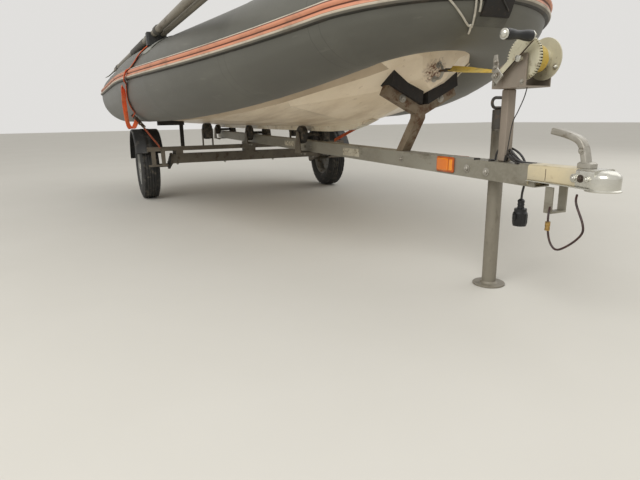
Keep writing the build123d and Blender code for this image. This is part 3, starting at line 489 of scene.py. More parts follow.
@dataclass(frozen=True)
class Gelcoat(Finish):
    """The hull's cream gelcoat: satin, with lengthwise grime, scratches and a rust run at the bow eye.

    Args:
        colour: The clean coat.
        aged: Its yellowed patches.
        grime: Dirt along the bottom.
        rust: Stain at the bow eye.
        rust_at: Middle of the stain.
        rust_size: Its radius.
    """

    colour: Colour
    aged: Colour
    grime: Colour
    rust: Colour
    rust_at: tuple[float, float, float]
    rust_size: float

    def layers(self, paint: Paint) -> bpy.types.Material:
        """Yellowed clouds, grime and scratches along the hull, and a ragged stain at the bow eye."""
        clouds = paint.noise(3.0, 5.0, (0.5, 1.0, 1.0))
        colour = paint.blend(self.colour, self.aged, clouds.above(0.5, 0.4) * 0.7)
        streaks = paint.noise(16.0, 6.0, (0.12, 1.0, 1.0))
        low = 1 - paint.coordinate("Z").above(0.60, 0.12)
        grime = (streaks.above(0.52, 0.2) * (low * 0.45 + 0.18)).clipped()
        colour = paint.blend(colour, self.grime, grime)
        scratches = paint.noise(60.0, 3.0, (0.05, 1.0, 1.0))
        colour = paint.blend(colour, self.grime, scratches.above(0.66, 0.05) * 0.3)
        offset = paint.node("ShaderNodeVectorMath", {"operation": "DISTANCE"},
                            {0: paint.on_object(), 1: self.rust_at}, "Value")
        ragged = offset + (paint.noise(55.0, 5.0) - 0.5) * (1.6 * self.rust_size)
        inside = 1 - ragged.above(self.rust_size, self.rust_size * 0.8)
        stain = (inside * paint.noise(120.0, 4.0).above(0.5, 0.25)).clipped()
        colour = paint.blend(colour, self.rust, stain)
        rough = ((clouds - 0.5) * 0.3 + 0.38).clipped()
        return paint.close(colour, rough, paint.relief(paint.noise(35.0, 2.0), 0.0002), coat=0.15)


@dataclass(frozen=True)
class Webbing(Finish):
    """Woven strap with ribs across it, faded and dirty in patches.

    Args:
        colour: The yarn.
        worn: Faded yarn.
        dirt: Dirt in the weave.
        pitch: Distance between the ribs.
    """

    colour: Colour
    worn: Colour
    dirt: Colour
    pitch: float = 0.0022

    def layers(self, paint: Paint) -> bpy.types.Material:
        """Ribs as the product of two sines of the UV map, which runs in metres."""
        rib, yarn = (paint.node("ShaderNodeMath", {"operation": "SINE"},
                                {0: paint.across(axis) * (TURN / (stretch * self.pitch))})
                     for axis, stretch in (("X", 1.0), ("Y", 0.9)))
        fade = paint.noise(14.0, 4.0)
        colour = paint.blend(self.colour, self.worn, fade.above(0.55, 0.3))
        weave = rib * yarn * 0.5 + 0.5
        colour = paint.blend(colour, self.dirt, (weave.above(0.25, 0.5) * -0.35 + 0.35).clipped())
        colour = paint.blend(colour, self.dirt, paint.noise(40.0, 5.0).above(0.62, 0.15) * 0.5)
        return paint.close(colour, 0.85, paint.relief(weave, 0.0004), sheen=0.2)


@dataclass(frozen=True)
class Lens(Finish):
    """Moulded amber lens with prisms behind its face.

    Args:
        colour: The amber.
        deep: The darker amber between the prisms.
        pitch: Size of a prism.
    """

    colour: Colour
    deep: Colour
    pitch: float = 0.004

    def layers(self, paint: Paint) -> bpy.types.Material:
        """Square prisms, from the distance to each cell's edge."""
        prisms = paint.node("ShaderNodeTexVoronoi", {"feature": "DISTANCE_TO_EDGE"}, {
            "Vector": paint.on_object(), "Scale": 1 / self.pitch, "Randomness": 0.0})
        colour = paint.blend(self.deep, self.colour, prisms.above(0.12, 0.2))
        colour = paint.blend(colour, self.deep, paint.noise(30.0, 4.0).above(0.6, 0.2) * 0.4)
        return paint.close(colour, 0.22, paint.relief(prisms, 0.0004), coat=0.6)


TAPE_PLACES = (-0.52, 0.33, 1.24, 2.02, 2.47)     # the tube's ring tapes, ahead of the axle
TAPE_HALF = 0.02                                  # half their width
ZINC_PALE = 0x969285
BLACK = 0x1e1e1d
SALMON = 0xc8886a
BROWN_LINE = 0x603422
PALE_LINE = 0xbcb2a0
GREY_LINE = 0x68645a


class Coat(Enum):
    """Every finish of the boat and its trailer."""

    TUBE = TubeCloth("tube_fabric", 0x54534b, 0x7c7b70, 0x36352f, TAPE_PLACES, TAPE_HALF)
    # stripes from the bottom up; the first, near-black band is painted shadow along the strake's lower edge
    STRAKE = StripedRubber("strake_rubber", 0.030, ((0.0, 0x282620), (0.09, GREY_LINE), (0.20, PALE_LINE),
                           (0.31, 0x966e54), (0.34, SALMON), (0.50, BROWN_LINE), (0.57, SALMON),
                           (0.80, BROWN_LINE), (0.87, PALE_LINE), (0.97, GREY_LINE)), 0x5c5042)
    GELCOAT = Gelcoat("hull_moulding", 0xf2e4cd, 0xe2cdad, 0xb49b7c, 0x6c3e24, (1.402, -0.012, 0.742),
                      0.036)
    FLANGE = Worn("hull_moulding", 0xded6c0, 0xcec0a6, 0x968268, 0.15, 6.0, rough=0.4, coat=0.2)
    # a darker copy of the gelcoat for the hull's sides above the chine: painted shade
    GEL_EDGE = Worn("hull_moulding", 0xc4b197, 0xb4a187, 0x96826a, 0.06, 7.0, rough=0.45,
                    stretch=(0.3, 1.0, 1.0), coat=0.1)
    DECK = Worn("hull_moulding", 0xc6bfae, 0xbab29e, 0x968c78, 0.04, 4.0, 500.0, 0.0008, 0.6)
    BOARD = Worn("seat_board", 0xaca89c, 0x969286, 0x605a50, 0.2, 5.0, 260.0, rough=0.5,
                 stretch=(3.0, 0.4, 1.0))
    GALVANISED = Worn("galvanised_steel", 0x827d6f, ZINC_PALE, 0x6a6253, 0.12, 6.0, 260.0, 0.0003, 0.5,
                      0.35, (0.5, 1.0, 1.0), zinc=0.45)
    # a darker copy of the galvanised finish for the steel under the boat: painted shade, with more stains
    UNDERSIDE = Worn("galvanised_steel", 0x625b50, 0x726b5e, 0x483c30, 0.2, 9.0, 240.0, 0.0004, 0.6, 0.3,
                     zinc=0.3)
    RUSTY = Worn("galvanised_steel", 0x746450, 0x867864, 0x5c402a, 0.3, 12.0, 280.0, 0.0005, 0.65, 0.2)
    POST = Worn("galvanised_steel", 0x928679, 0x887f72, 0x706254, 0.12, 10.0, 240.0, rough=0.5, metal=0.3,
                stretch=(1.0, 1.0, 0.3), zinc=0.3)
    PLATED = Worn("zinc_plated", 0xaca89e, 0x969186, 0x685c4c, 0.2, 14.0, 300.0, rough=0.38, metal=0.45)
    CREAM_STEEL = Worn("zinc_plated", 0xc6c0a6, 0xb6b098, 0x78684e, 0.15, 12.0, 320.0, rough=0.42,
                       metal=0.15)
    COUPLING = Worn("zinc_plated", 0xd0c2a0, 0xc0b69c, 0x968060, 0.06, 11.0, 260.0, rough=0.42, metal=0.2)
    BRIGHT = Worn("zinc_plated", 0xceccc2, 0xb8b6ac, 0x787062, 0.1, 12.0, 220.0, rough=0.26, metal=0.75)
    STAND = Worn("zinc_plated", 0x787164, 0x8a8476, 0x5e5648, 0.12, 8.0, 240.0, rough=0.5, metal=0.35,
                 stretch=(1.0, 1.0, 0.35), zinc=0.3)
    DARK_STEEL = Worn("dark_steel", 0x3c3630, 0x544638, 0x684a30, 0.3, 16.0, 260.0, rough=0.5, metal=0.3)
    HANDLE = Worn("zinc_plated", 0x2e2c28, 0x423e38, 0x584634, 0.25, 16.0, 300.0, rough=0.5)
    TYRE = Worn("tyre_rubber", 0x282827, 0x383734, 0x5c564c, 0.22, 10.0, 420.0, 0.0004, 0.8)
    RIM = Worn("rim_steel", 0x969692, 0x807f7a, 0x564c3e, 0.25, 12.0, 300.0, rough=0.4, metal=0.35)
    PLASTIC = Worn("black_plastic", BLACK, 0x2e2d2b, 0x545048, 0.22, 8.0, 480.0, 0.0003, 0.55)
    GRIP = Worn("black_plastic", 0x0c0c0d, 0x111111, 0x22201e, 0.03, 20.0, 300.0, rough=0.42)
    ROLLER = Worn("roller_rubber", 0x2c2a27, 0x3e3a34, 0x62584a, 0.3, 18.0, 380.0, rough=0.75)
    PAD = Worn("roller_rubber", 0x1e1c1a, 0x282420, 0x3e3228, 0.15, 20.0, 300.0, 0.0006, 0.8)
    YELLOW = Webbing("yellow_webbing", 0xd6b02c, 0xc4ac54, 0x7a6028)
    ORANGE = Webbing("orange_webbing", 0xe85c22, 0xe07a46, 0x8c3e1e)
    AMBER = Lens("amber_lens", 0xf49e18, 0xd6700a)
    LENS_RIM = Worn("amber_lens", 0xc45c1a, 0xaa4e18, 0x6e3e1e, 0.15, 30.0, rough=0.35)
    PATCH = Worn("pale_patch", 0x96978f, 0x86867e, 0x5c5a52, 0.25, 20.0, 700.0, rough=0.7)
    NOSE_PATCH = Worn("pale_patch", 0x605f57, 0x56554e, 0x46453e, 0.1, 20.0, 700.0, rough=0.7)
    SEAM = Worn("tube_fabric", 0x38342d, 0x423e36, 0x2c2822, 0.1, 20.0, 700.0, rough=0.7)
    OAR = Worn("oar_tube", 0x7c766a, 0x8c8679, 0x5c5245, 0.15, 10.0, 240.0, rough=0.5, metal=0.3,
               stretch=(0.3, 1.0, 1.0))
    OAR_GRIP = Worn("oar_tube", 0x423e38, 0x545048, 0x2c2824, 0.3, 16.0, rough=0.6)
    CABLE = Worn("cable_sheath", 0x22201f, 0x2c2927, 0x463e36, 0.2, 30.0, rough=0.45)
    SAFETY = Worn("cable_sheath", 0x3a1e1a, 0x2c1e1b, 0x543e32, 0.2, 40.0, rough=0.4)
    BRASS = Worn("brass", 0xba9656, 0xa48854, 0x685232, 0.3, 60.0, rough=0.35, metal=0.8)
    ROPE = Worn("pale_patch", 0xc4beb0, 0xaca698, 0x787062, 0.08, 60.0, 900.0, rough=0.8)
    LABEL = Worn("pale_patch", 0xc4beac, 0xb4ac98, 0x786e5c, 0.3, 30.0, rough=0.5)


MADE: dict[Coat, bpy.types.Material] = {}


def dress(thing: bpy.types.Object, coats: Sequence[Coat]) -> None:
    """Gives a piece or a carried-over node its materials.

    Args:
        thing: The object.
        coats: Its finishes, in the order of its material numbers.
    """
    for coat in coats:
        if coat not in MADE:
            MADE[coat] = coat.value.material(coat.name.lower())
    while len(thing.material_slots) < len(coats):
        thing.data.materials.append(None)
    for slot, coat in zip(thing.material_slots, coats):
        slot.material = MADE[coat]


def dress_nodes(coats: dict[str, Coat]) -> None:
    """Gives carried-over nodes their materials.

    Args:
        coats: The finish of each node.
    """
    for node, coat in coats.items():
        dress(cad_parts[node], [coat])


def circle(radius: float, count: int) -> Array:
    """A round section.

    Args:
        radius: Its radius.
        count: Points round it, at equal angles.
    Returns:
        The points.
    """
    return radius * np.stack([np.cos(turns(count)), np.sin(turns(count))], -1)


def rounded(width: float, height: float, radius: float, steps: int = 4) -> Array:
    """A rectangular section with quarter circles at its corners.

    Args:
        width: Size along the first axis.
        height: Size along the second axis.
        radius: Radius of the corners.
        steps: Points on each corner, less one.
    Returns:
        The closed section's points.
    """
    turn = np.linspace(0.0, math.pi / 2, steps + 1)
    corners = []
    for quarter, (sx, sy) in enumerate(((1, 1), (-1, 1), (-1, -1), (1, -1))):
        middle = np.array([sx * (width / 2 - radius), sy * (height / 2 - radius)])
        angles = turn + quarter * math.pi / 2
        corners.append(middle + radius * np.stack([np.cos(angles), np.sin(angles)], -1))
    return np.concatenate(corners)


def smooth_line(points: Array, count: int) -> Array:
    """A Catmull-Rom curve: on each run, the cubic blend of the four nearest points.

    Args:
        points: The points that the curve goes through, one a row.
        count: How many points to return.
    Returns:
        Points along the curve.
    """
    padded = np.concatenate([2 * points[:1] - points[1:2], points, 2 * points[-1:] - points[-2:-1]])
    t = np.linspace(0.0, len(points) - 1 - 1e-9, count)
    run = t.astype(int)
    f = (t - run)[:, None]
    a, b, c, d = (padded[run + k] for k in range(4))
    return 0.5 * (2 * b + (c - a) * f + (2 * a - 5 * b + 4 * c - d) * f ** 2
                  + (3 * b - a - 3 * c + d) * f ** 3)


class Shape:
    """Surfaces gathered as whole arrays until they become one mesh."""

    def __init__(self) -> None:
        """Starts with no surface."""
        self.points: list[Array] = []
        # of each surface, its faces' point numbers, their UV values and their material numbers
        self.quads: list[tuple[Array, Array, Array]] = []
        self.fans: list[tuple[Array, Array, Array]] = []
        self.count = 0

    def grid(self, points: Array, closed: bool = False, uv: Optional[Array] = None,
             tone: Union[int, Array] = 0) -> "Shape":
        """Adds a surface given on a grid of two parameters, whose rows close on themselves.

        Args:
            points: Grid of points, rows along and columns across.
            closed: Whether the last row joins the first; if not, fans close both.
            uv: UV values, with one more row or column where it closes; lengths in metres if left out.
            tone: Number of the piece's material, or one for each face of the grid.
        Returns:
            This shape.
        """
        rows, columns = points.shape[:2]
        numbers = self.count + np.arange(rows * columns).reshape(rows, columns)
        faces, skin = numbers, points
        if closed:
            faces, skin = np.vstack([faces, faces[:1]]), np.concatenate([skin, skin[:1]])
        faces, skin = np.hstack([faces, faces[:, :1]]), np.concatenate([skin, skin[:, :1]], 1)
        if uv is None:
            uv = np.stack(np.meshgrid(lengths(skin[:, 0]), lengths(skin[0]), indexing="ij"), -1)
        one, next_one = slice(None, -1), slice(1, None)
        corners = ((one, one), (one, next_one), (next_one, next_one), (next_one, one))
        tones = np.broadcast_to(tone, faces[1:, 1:].shape).ravel()
        self.quads.append((np.stack([faces[c] for c in corners], -1).reshape(-1, 4),
                           np.stack([uv[c] for c in corners], -2).reshape(-1, 4, 2), tones))
        self.points.append(points.reshape(-1, 3))
        self.count += rows * columns
        if not closed:
            for row, end, way in ((faces[0], 0, -1), (faces[-1], -1, 1)):
                fan = np.stack([row[:-1], row[1:], np.full(columns, self.count)], -1)[:, ::way]
                self.fans.append((fan, np.zeros((columns, 3, 2)), np.full(columns, np.ravel(tone)[end])))
                self.points.append(points[end].mean(axis=0)[None])
                self.count += 1
        return self

    def sheet(self, top: Array, low: Array, tone: int = 0) -> "Shape":
        """Adds a thin sheet, closed at its edges.

        Args:
            top: Grid of points of its outer face.
            low: Grid of points of its inner face.
            tone: Number of the piece's material.
        Returns:
            This shape.
        """
        return self.grid(np.concatenate([top, low[:, ::-1]], 1), tone=tone)

    def revolve(self, profile: Sequence[Point], origin: Array, axis: Point, count: int = 48,
                closed: bool = False, tone: int = 0) -> "Shape":
        """Adds a turned surface: each profile point goes round the axis on a circle.

        Args:
            profile: Rows of radius and distance along the axis.
            origin: Where the distance is 0.
            axis: The axis of turning.
            count: Points round it.
            closed: Whether the profile's last point joins its first.
            tone: Number of the piece's material.
        Returns:
            This shape.
        """
        profile = np.asarray(profile, float)
        axis = unit(np.asarray(axis, float))
        first = unit(np.cross(UP if abs(axis[2]) < 0.9 else AHEAD, axis))
        second = np.cross(axis, first)
        ring = circle(1.0, count)
        spokes = ring[:, :1] * first + ring[:, 1:] * second
        points = origin + profile[:, None, :1] * spokes[None] + profile[:, None, 1:] * axis
        return self.grid(points, closed, tone=tone)

    def sweep(self, path: Array, section: Array, reference: Point, closed: bool = False,
              scale: Union[float, Array] = 1.0, tone: int = 0) -> "Shape":
        """Adds a section carried along a path: its first axis lies across the path and the reference.

        Args:
            path: Points of the path.
            section: Closed section, out and up.
            reference: The way that the section's second axis leans to.
            closed: Whether the path closes.
            scale: Size of the section at each point.
            tone: Number of the piece's material.
        Returns:
            This shape.
        """
        path = np.asarray(path, float)
        if closed:
            tangent = np.roll(path, -1, 0) - np.roll(path, 1, 0)
        else:
            tangent = np.gradient(path, axis=0)
        tangent = unit(tangent)
        side = unit(np.cross(tangent, np.broadcast_to(np.asarray(reference, float), path.shape)))
        lift = np.cross(side, tangent)
        grown = np.broadcast_to(scale, len(path))[:, None, None]
        points = path[:, None] + grown * (section[None, :, :1] * side[:, None]
                                          + section[None, :, 1:] * lift[:, None])
        return self.grid(points, closed, tone=tone)

    def block(self, low: Array, high: Array, radius: float = 0.0015, tone: int = 0) -> "Shape":
        """Adds a box with rounded upright edges and chamfered ends.

        Args:
            low: Lowest corner.
            high: Highest corner.
            radius: Radius of its edges.
            tone: Number of the piece's material.
        Returns:
            This shape.
        """
        low, high = np.minimum(low, high), np.maximum(low, high)
        size, middle = high - low, (low + high) / 2
        radius = min(radius, 0.45 * float(size.min()))
        inner = rounded(size[0] - 2 * radius, size[1] - 2 * radius, radius * 0.5, 3)
        outer = rounded(size[0], size[1], radius, 3)
        rings = [(inner, low[2]), (outer, low[2] + radius), (outer, high[2] - radius), (inner, high[2])]
        points = np.stack([np.column_stack([r + middle[:2], np.full(len(r), z)]) for r, z in rings])
        return self.grid(points, tone=tone)

    def bolt(self, at: Array, axis: Point, size: float, tone: int = 0) -> "Shape":
        """Adds a washer, a hexagonal head and the rounded end of its screw.

        Args:
            at: Where the bolt leaves its seat.
            axis: The way it points.
            size: Radius of the head.
            tone: Number of the piece's material.
        Returns:
            This shape.
        """
        washer = [(1.45, -0.1), (1.5, 0.05), (1.45, 0.25), (0.9, 0.28)]
        head = [(0.95, 0.2), (1.0, 0.3), (1.0, 0.85), (0.86, 1.0)]
        end = [(0.5, 0.9), (0.5, 1.2), (0.3, 1.35)]
        for profile, count in ((washer, 20), (head, 6), (end, 10)):
            self.revolve(np.array(profile) * size, at, axis, count, tone=tone)
        return self

    def mirrored(self) -> "Shape":
        """Adds the same surfaces on the other side of the middle plane."""
        shift = self.count
        self.points.append(np.concatenate(self.points) * MIRROR)
        for faces in (self.quads, self.fans):
            faces += [(corners[:, ::-1] + shift, uvs[:, ::-1], tones) for corners, uvs, tones in faces]
        self.count += shift
        return self

    def build(self, name: str, coats: Sequence[Coat], body: str = ROOT,
              replaces: Sequence[str] = (), sharp: float = 35.0) -> bpy.types.Object:
        """Makes the mesh, merges doubles, turns faces outwards, dresses it, hangs it on its body and hides the
        nodes that it stands for.

        Args:
            name: The piece's name.
            coats: Its finishes.
            body: The body that it moves with.
            replaces: The nodes that it stands for.
            sharp: Angle in degrees past which an edge is sharp.
        Returns:
            The piece.
        """
        corners, uvs, tones = zip(*self.quads, *self.fans)
        faces = [face for part in corners for face in part.tolist()]
        mesh = bpy.data.meshes.new(name)
        mesh.from_pydata(np.concatenate(self.points).tolist(), [], faces)
        uv_values = np.concatenate([part.ravel() for part in uvs])
        mesh.uv_layers.new(name="UVMap").data.foreach_set("uv", uv_values)
        mesh.polygons.foreach_set("material_index", np.concatenate(tones))
        mesh.polygons.foreach_set("use_smooth", np.ones(len(faces), bool))
        work = bmesh.new()
        work.from_mesh(mesh)
        bmesh.ops.remove_doubles(work, verts=work.verts, dist=MERGE)
        bmesh.ops.recalc_face_normals(work, faces=work.faces)
        work.to_mesh(mesh)
        work.free()
        mesh.set_sharp_from_angle(angle=math.radians(sharp))
        piece = show(name, mesh)
        dress(piece, coats)
        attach(piece, body)
        if replaces:
            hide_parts(*replaces)
        log.info("%s: %d faces on %s", name, len(faces), body)
        return piece


@dataclass(frozen=True)
class Viewpoint:
    """The photograph's camera, worked out from the trailer's known sizes.

    Args:
        at: Where it stands.
        yaw: Turn of its view from straight aft towards port, in degrees.
        pitch: How far it looks down, in degrees.
        roll: Its tilt, in degrees.
        focal: Focal length in pixels.
        width: Width of the photograph in pixels.
        sensor: Width of the sensor in millimetres.
    """

    at: tuple[float, float, float] = (2.9309, -1.1872, 0.5824)
    yaw: float = 24.925
    pitch: float = 13.904
    roll: float = -0.932
    focal: float = 493.3
    width: int = 640
    sensor: float = 36.0

    def build(self) -> bpy.types.Object:
        """Makes the camera: its columns are right, up and back.

        Returns:
            The camera.
        """
        yaw, pitch, roll = (math.radians(a) for a in (self.yaw, self.pitch, self.roll))
        level = np.array([-math.cos(yaw), math.sin(yaw), 0.0])
        right = np.cross(level, UP)
        ahead = math.cos(pitch) * level - math.sin(pitch) * UP
        above = np.cross(right, ahead)
        right, above = (math.cos(roll) * right + math.sin(roll) * above,
                        -math.sin(roll) * right + math.cos(roll) * above)
        data = bpy.data.cameras.new("photo_camera")
        data.sensor_width = self.sensor
        data.lens = self.focal / self.width * self.sensor
        data.clip_end = 200.0
        camera = show("photo_camera", data)
        camera.matrix_world = facing(right, above, -ahead, self.at)
        bpy.context.scene.camera = camera
        return camera


@dataclass
class Cords:
    """The light lead with its plug and the trailer's safety cable.

    Args:
        lead_top: Height of the drawbar's top under the lead's exit.
        lead_width: Diameter of the lead.
        cable_width: Diameter of the safety cable.
        ribs: Grip ribs round the plug.
        lead_route: Places along the lead, with the height over the drawbar's top.
        cable_route: Places along the safety cable.
    """

    lead_top: float = 0.43982
    lead_width: float = 0.007
    cable_width: float = 0.006
    ribs: int = 12
    lead_route: tuple = (
        (2.812, 0.010, 0.0002), (2.812, 0.010, 0.024), (2.822, 0.020, 0.040), (2.842, 0.030, 0.044),
        (2.872, 0.036, 0.034), (2.897, 0.040, 0.014), (2.910, 0.042, -0.014), (2.914, 0.042, -0.048),
        (2.909, 0.038, -0.082), (2.907, 0.036, -0.100), (2.907, 0.036, -0.118))
    cable_route: tuple = (
        (3.073, -0.033, 0.330), (3.079, -0.043, 0.322), (3.083, -0.049, 0.306), (3.085, -0.050, 0.282),
        (3.090, -0.050, 0.252), (3.101, -0.050, 0.230), (3.119, -0.050, 0.218), (3.145, -0.050, 0.232),
        (3.176, -0.050, 0.258), (3.196, -0.050, 0.284), (3.190, -0.049, 0.308), (3.176, -0.047, 0.330),
        (3.160, -0.041, 0.350), (3.150, -0.033, 0.364), (3.146, -0.024, 0.374))

    def line(self, name: str, route: Array, width: float, coat: Coat, node: str) -> bpy.types.Object:
        """Makes one cord as a smooth curve with the route's points as control points.

        Args:
            name: The cord's name.
            route: Its points.
            width: Its diameter.
            coat: Its finish.
            node: The node that it stands for.
        Returns:
            The cord.
        """
        curve = bpy.data.curves.new(name, "CURVE")
        curve.dimensions = "3D"
        spline = curve.splines.new("NURBS")
        spline.points.add(len(route) - 1)
        spline.points.foreach_set("co", np.column_stack([route, np.ones(len(route))]).ravel())
        spline.order_u = 3
        spline.use_endpoint_u = True
        curve.resolution_u = 10
        curve.bevel_depth = width / 2
        curve.bevel_resolution = 3
        curve.use_fill_caps = True
        piece = show(name, curve)
        dress(piece, [coat])
        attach(piece, ROOT)
        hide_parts(node)
        log.info("%s: %d points", name, len(route))
        return piece

    def build(self) -> None:
        route = places(self.lead_route) + self.lead_top * UP
        lead = self.line("light_lead_cord", route, self.lead_width, Coat.CABLE, "light_lead")
        plug = Shape()
        top = route[-1]
        # rows of radius and distance along the axis, here and in every turned profile
        plug.revolve([(0.0052, 0.004), (0.0105, -0.001), (0.011, -0.004), (0.0095, -0.010), (0.011, -0.014),
                      (0.0095, -0.019), (0.0112, -0.0255), (0.0188, -0.027), (0.019, -0.037),
                      (0.0205, -0.039), (0.022, -0.041), (0.022, -0.076), (0.0205, -0.079),
                      (0.0205, -0.082), (0.017, -0.082), (0.017, -0.074)], top, UP, 28)
        plug.block(top + [-0.006, -0.0285, -0.060], top + [0.006, -0.020, -0.042], 0.002)
        for angle in turns(self.ribs):
            side = np.array([math.cos(angle), math.sin(angle), 0.0])
            rib = top + side * 0.0218 - np.outer((0.044, 0.072), UP)
            plug.sweep(rib, circle(0.0013, 6), np.cross(side, UP))
        plug_piece = plug.build("lead_plug_body", [Coat.GRIP], replaces=["lead_plug"])
        cable_route = places(self.cable_route)
        cable = self.line("safety_cable_cord", cable_route, self.cable_width, Coat.SAFETY, "safety_cable")
        ferrule = Shape()
        ferrule.revolve([(0.0042, 0.0), (0.0066, 0.0005), (0.007, 0.002), (0.007, 0.008), (0.0062, 0.009),
                         (0.0062, 0.011), (0.007, 0.012), (0.007, 0.024), (0.0066, 0.0255), (0.0042, 0.026)],
                        place(3.0846, -0.050, 0.268), UP, 24)
        ferrule_piece = ferrule.build("cable_ferrule_sleeve", [Coat.BRASS], replaces=["cable_ferrule"])


@dataclass
class Tube:
    """The buoyancy tube: on each side a toed-in straight, a side bend and a nose bend, rising to the nose.

    Args:
        side_r: Radius of the tube along the sides.
        nose_r: Radius at the nose.
        side_z: Height of its middle along the sides.
        rise: How much higher the middle runs at the nose.
        rise_power: How late it rises.
        nose: Its middle at the nose, ahead of the axle.
        nose_bend: Plan radius round the nose.
        side_bend: Plan radius along the sides.
        toe: Angle of the straight, in radians.
        shoulder: Heading where the side bend ends, in radians.
        stern: Its blunt ends, ahead of the axle.
        tail: Length of the rounded tail.
        tail_r: Radius at the tail's end.
        tape_lift: How far a tape stands proud.
        ring_slope: Width of the slope at a ring tape's edge.
        long_slope: Width of the slope at a lengthwise tape's edge.
        long_tapes: Angles of the lengthwise tapes, up from outboard, in radians.
        around: Points round the tube.
    """

    side_r: float = 0.2135
    nose_r: float = 0.1694
    side_z: float = 0.7897
    rise: float = 0.1758
    rise_power: float = 3.3
    nose: float = 2.6378
    nose_bend: float = 0.3242
    side_bend: float = 5.175
    toe: float = math.radians(1.0)
    shoulder: float = math.radians(24.43)
    stern: float = -1.04
    tail: float = 0.09
    tail_r: float = 0.12
    tape_lift: float = 0.0011
    ring_slope: float = 0.004
    long_slope: float = 0.008
    long_tapes: tuple[float, ...] = (-0.42, -2.45, 1.35)
    around: int = 96

    def __post_init__(self) -> None:
        """Works out where the bends start."""
        self.bend_x = self.nose - self.nose_bend
        self.shoulder_x = self.bend_x + self.nose_bend * math.sin(self.shoulder)
        self.shoulder_y = self.nose_bend * math.cos(self.shoulder)
        self.start_x = self.shoulder_x - self.side_bend * (math.sin(self.shoulder) - math.sin(self.toe))
        self.start_y = self.shoulder_y + self.side_bend * (math.cos(self.toe) - math.cos(self.shoulder))

    def heading(self, ahead: Array) -> Array:
        """Angle that the middle line turns inward, from the sine of each bend's circle."""
        sine = math.sin(self.shoulder) - (self.shoulder_x - ahead) / self.side_bend
        side = np.arcsin(np.clip(sine, -1, 1))
        nose = np.arcsin(np.clip((ahead - self.bend_x) / self.nose_bend, -1, 1))
        return np.where(ahead <= self.start_x, self.toe, np.where(ahead <= self.shoulder_x, side, nose))

    def out(self, ahead: Array) -> Array:
        """Half-width of the middle line: a straight, then the cosine of each bend's circle."""
        a = self.heading(ahead)
        straight = self.start_y + (self.start_x - ahead) * math.tan(self.toe)
        side = self.shoulder_y + self.side_bend * (np.cos(a) - math.cos(self.shoulder))
        return np.where(ahead <= self.start_x, straight,
                        np.where(ahead <= self.shoulder_x, side, self.nose_bend * np.cos(a)))

    def share(self, ahead: Array) -> Array:
        """0 where the side bend starts, 1 at the nose."""
        return np.clip((ahead - self.start_x) / (self.nose - self.start_x), 0.0, 1.0)

    def height(self, ahead: Array) -> Array:
        """Height of the middle: the side height plus the rise times a power of the share."""
        return self.side_z + self.rise * self.share(ahead) ** self.rise_power

    def radius(self, ahead: Array) -> Array:
        """Radius: it shrinks with the square of the share, and rounds off at the tail."""
        body = self.side_r + (self.nose_r - self.side_r) * self.share(ahead) ** 2
        q = np.clip((self.stern + self.tail - ahead) / self.tail, 0.0, 1.0)
        return body + (self.tail_r - self.side_r) * q ** 2.2

    def skin(self, ahead: Array, angle: Array, lift: Union[float, Array] = 0.0, side: int = 1) -> Array:
        """Points on the tube: the middle plus the radius, out by its cosine and up by its sine.

        Args:
            ahead: Distance ahead of the axle.
            angle: Angle up from straight outboard, in radians.
            lift: Distance off the skin.
            side: 1 for port and -1 for starboard.
        Returns:
            The points, in the broadcast shape of ahead and angle.
        """
        ahead, angle, lift = np.broadcast_arrays(ahead, angle, lift)
        a = self.heading(ahead)
        r = self.radius(ahead) + lift
        flat = r * np.cos(angle)
        return np.stack([AXLE_X + ahead + flat * np.sin(a), side * (self.out(ahead) + flat * np.cos(a)),
                         self.height(ahead) + r * np.sin(angle)], -1)

    def stations(self) -> Array:
        """Places of the rings from the port stern to the nose, closer together in the bends."""
        tail = np.linspace(self.stern, self.stern + self.tail, 12)
        straight = np.linspace(self.stern + self.tail, self.start_x, 40)[1:]
        side, nose = (np.sin(np.linspace(start, end, count)[1:]) for start, end, count in (
            (self.toe, self.shoulder, 80), (self.shoulder, math.pi / 2, 60)))
        return np.concatenate([tail, straight,
                               self.shoulder_x - self.side_bend * (math.sin(self.shoulder) - side),
                               self.bend_x + self.nose_bend * nose])

    def build(self) -> None:
        """Makes the skin as one surface round both sides and the nose, with its tapes standing proud."""
        ahead, angle = np.meshgrid(self.stations(), turns(self.around), indexing="ij")
        lift = np.zeros_like(ahead)
        for tape in TAPE_PLACES:
            lift = np.maximum(lift, np.clip((TAPE_HALF - abs(ahead - tape)) / self.ring_slope, 0, 1))
        for tape in self.long_tapes:
            gap = abs((angle - tape + math.pi) % TURN - math.pi) * self.side_r
            lift = np.maximum(lift, np.clip((TAPE_HALF - gap) / self.long_slope, 0, 1))
        port, starboard = (self.skin(ahead, angle, lift * self.tape_lift, side) for side in (1, -1))
        tube = Shape()
        tube.grid(np.concatenate([port, starboard[-2::-1]]))
        tube.build("tube_skin", [Coat.TUBE], replaces=["tube_port", "tube_starboard", "tube_bow"])


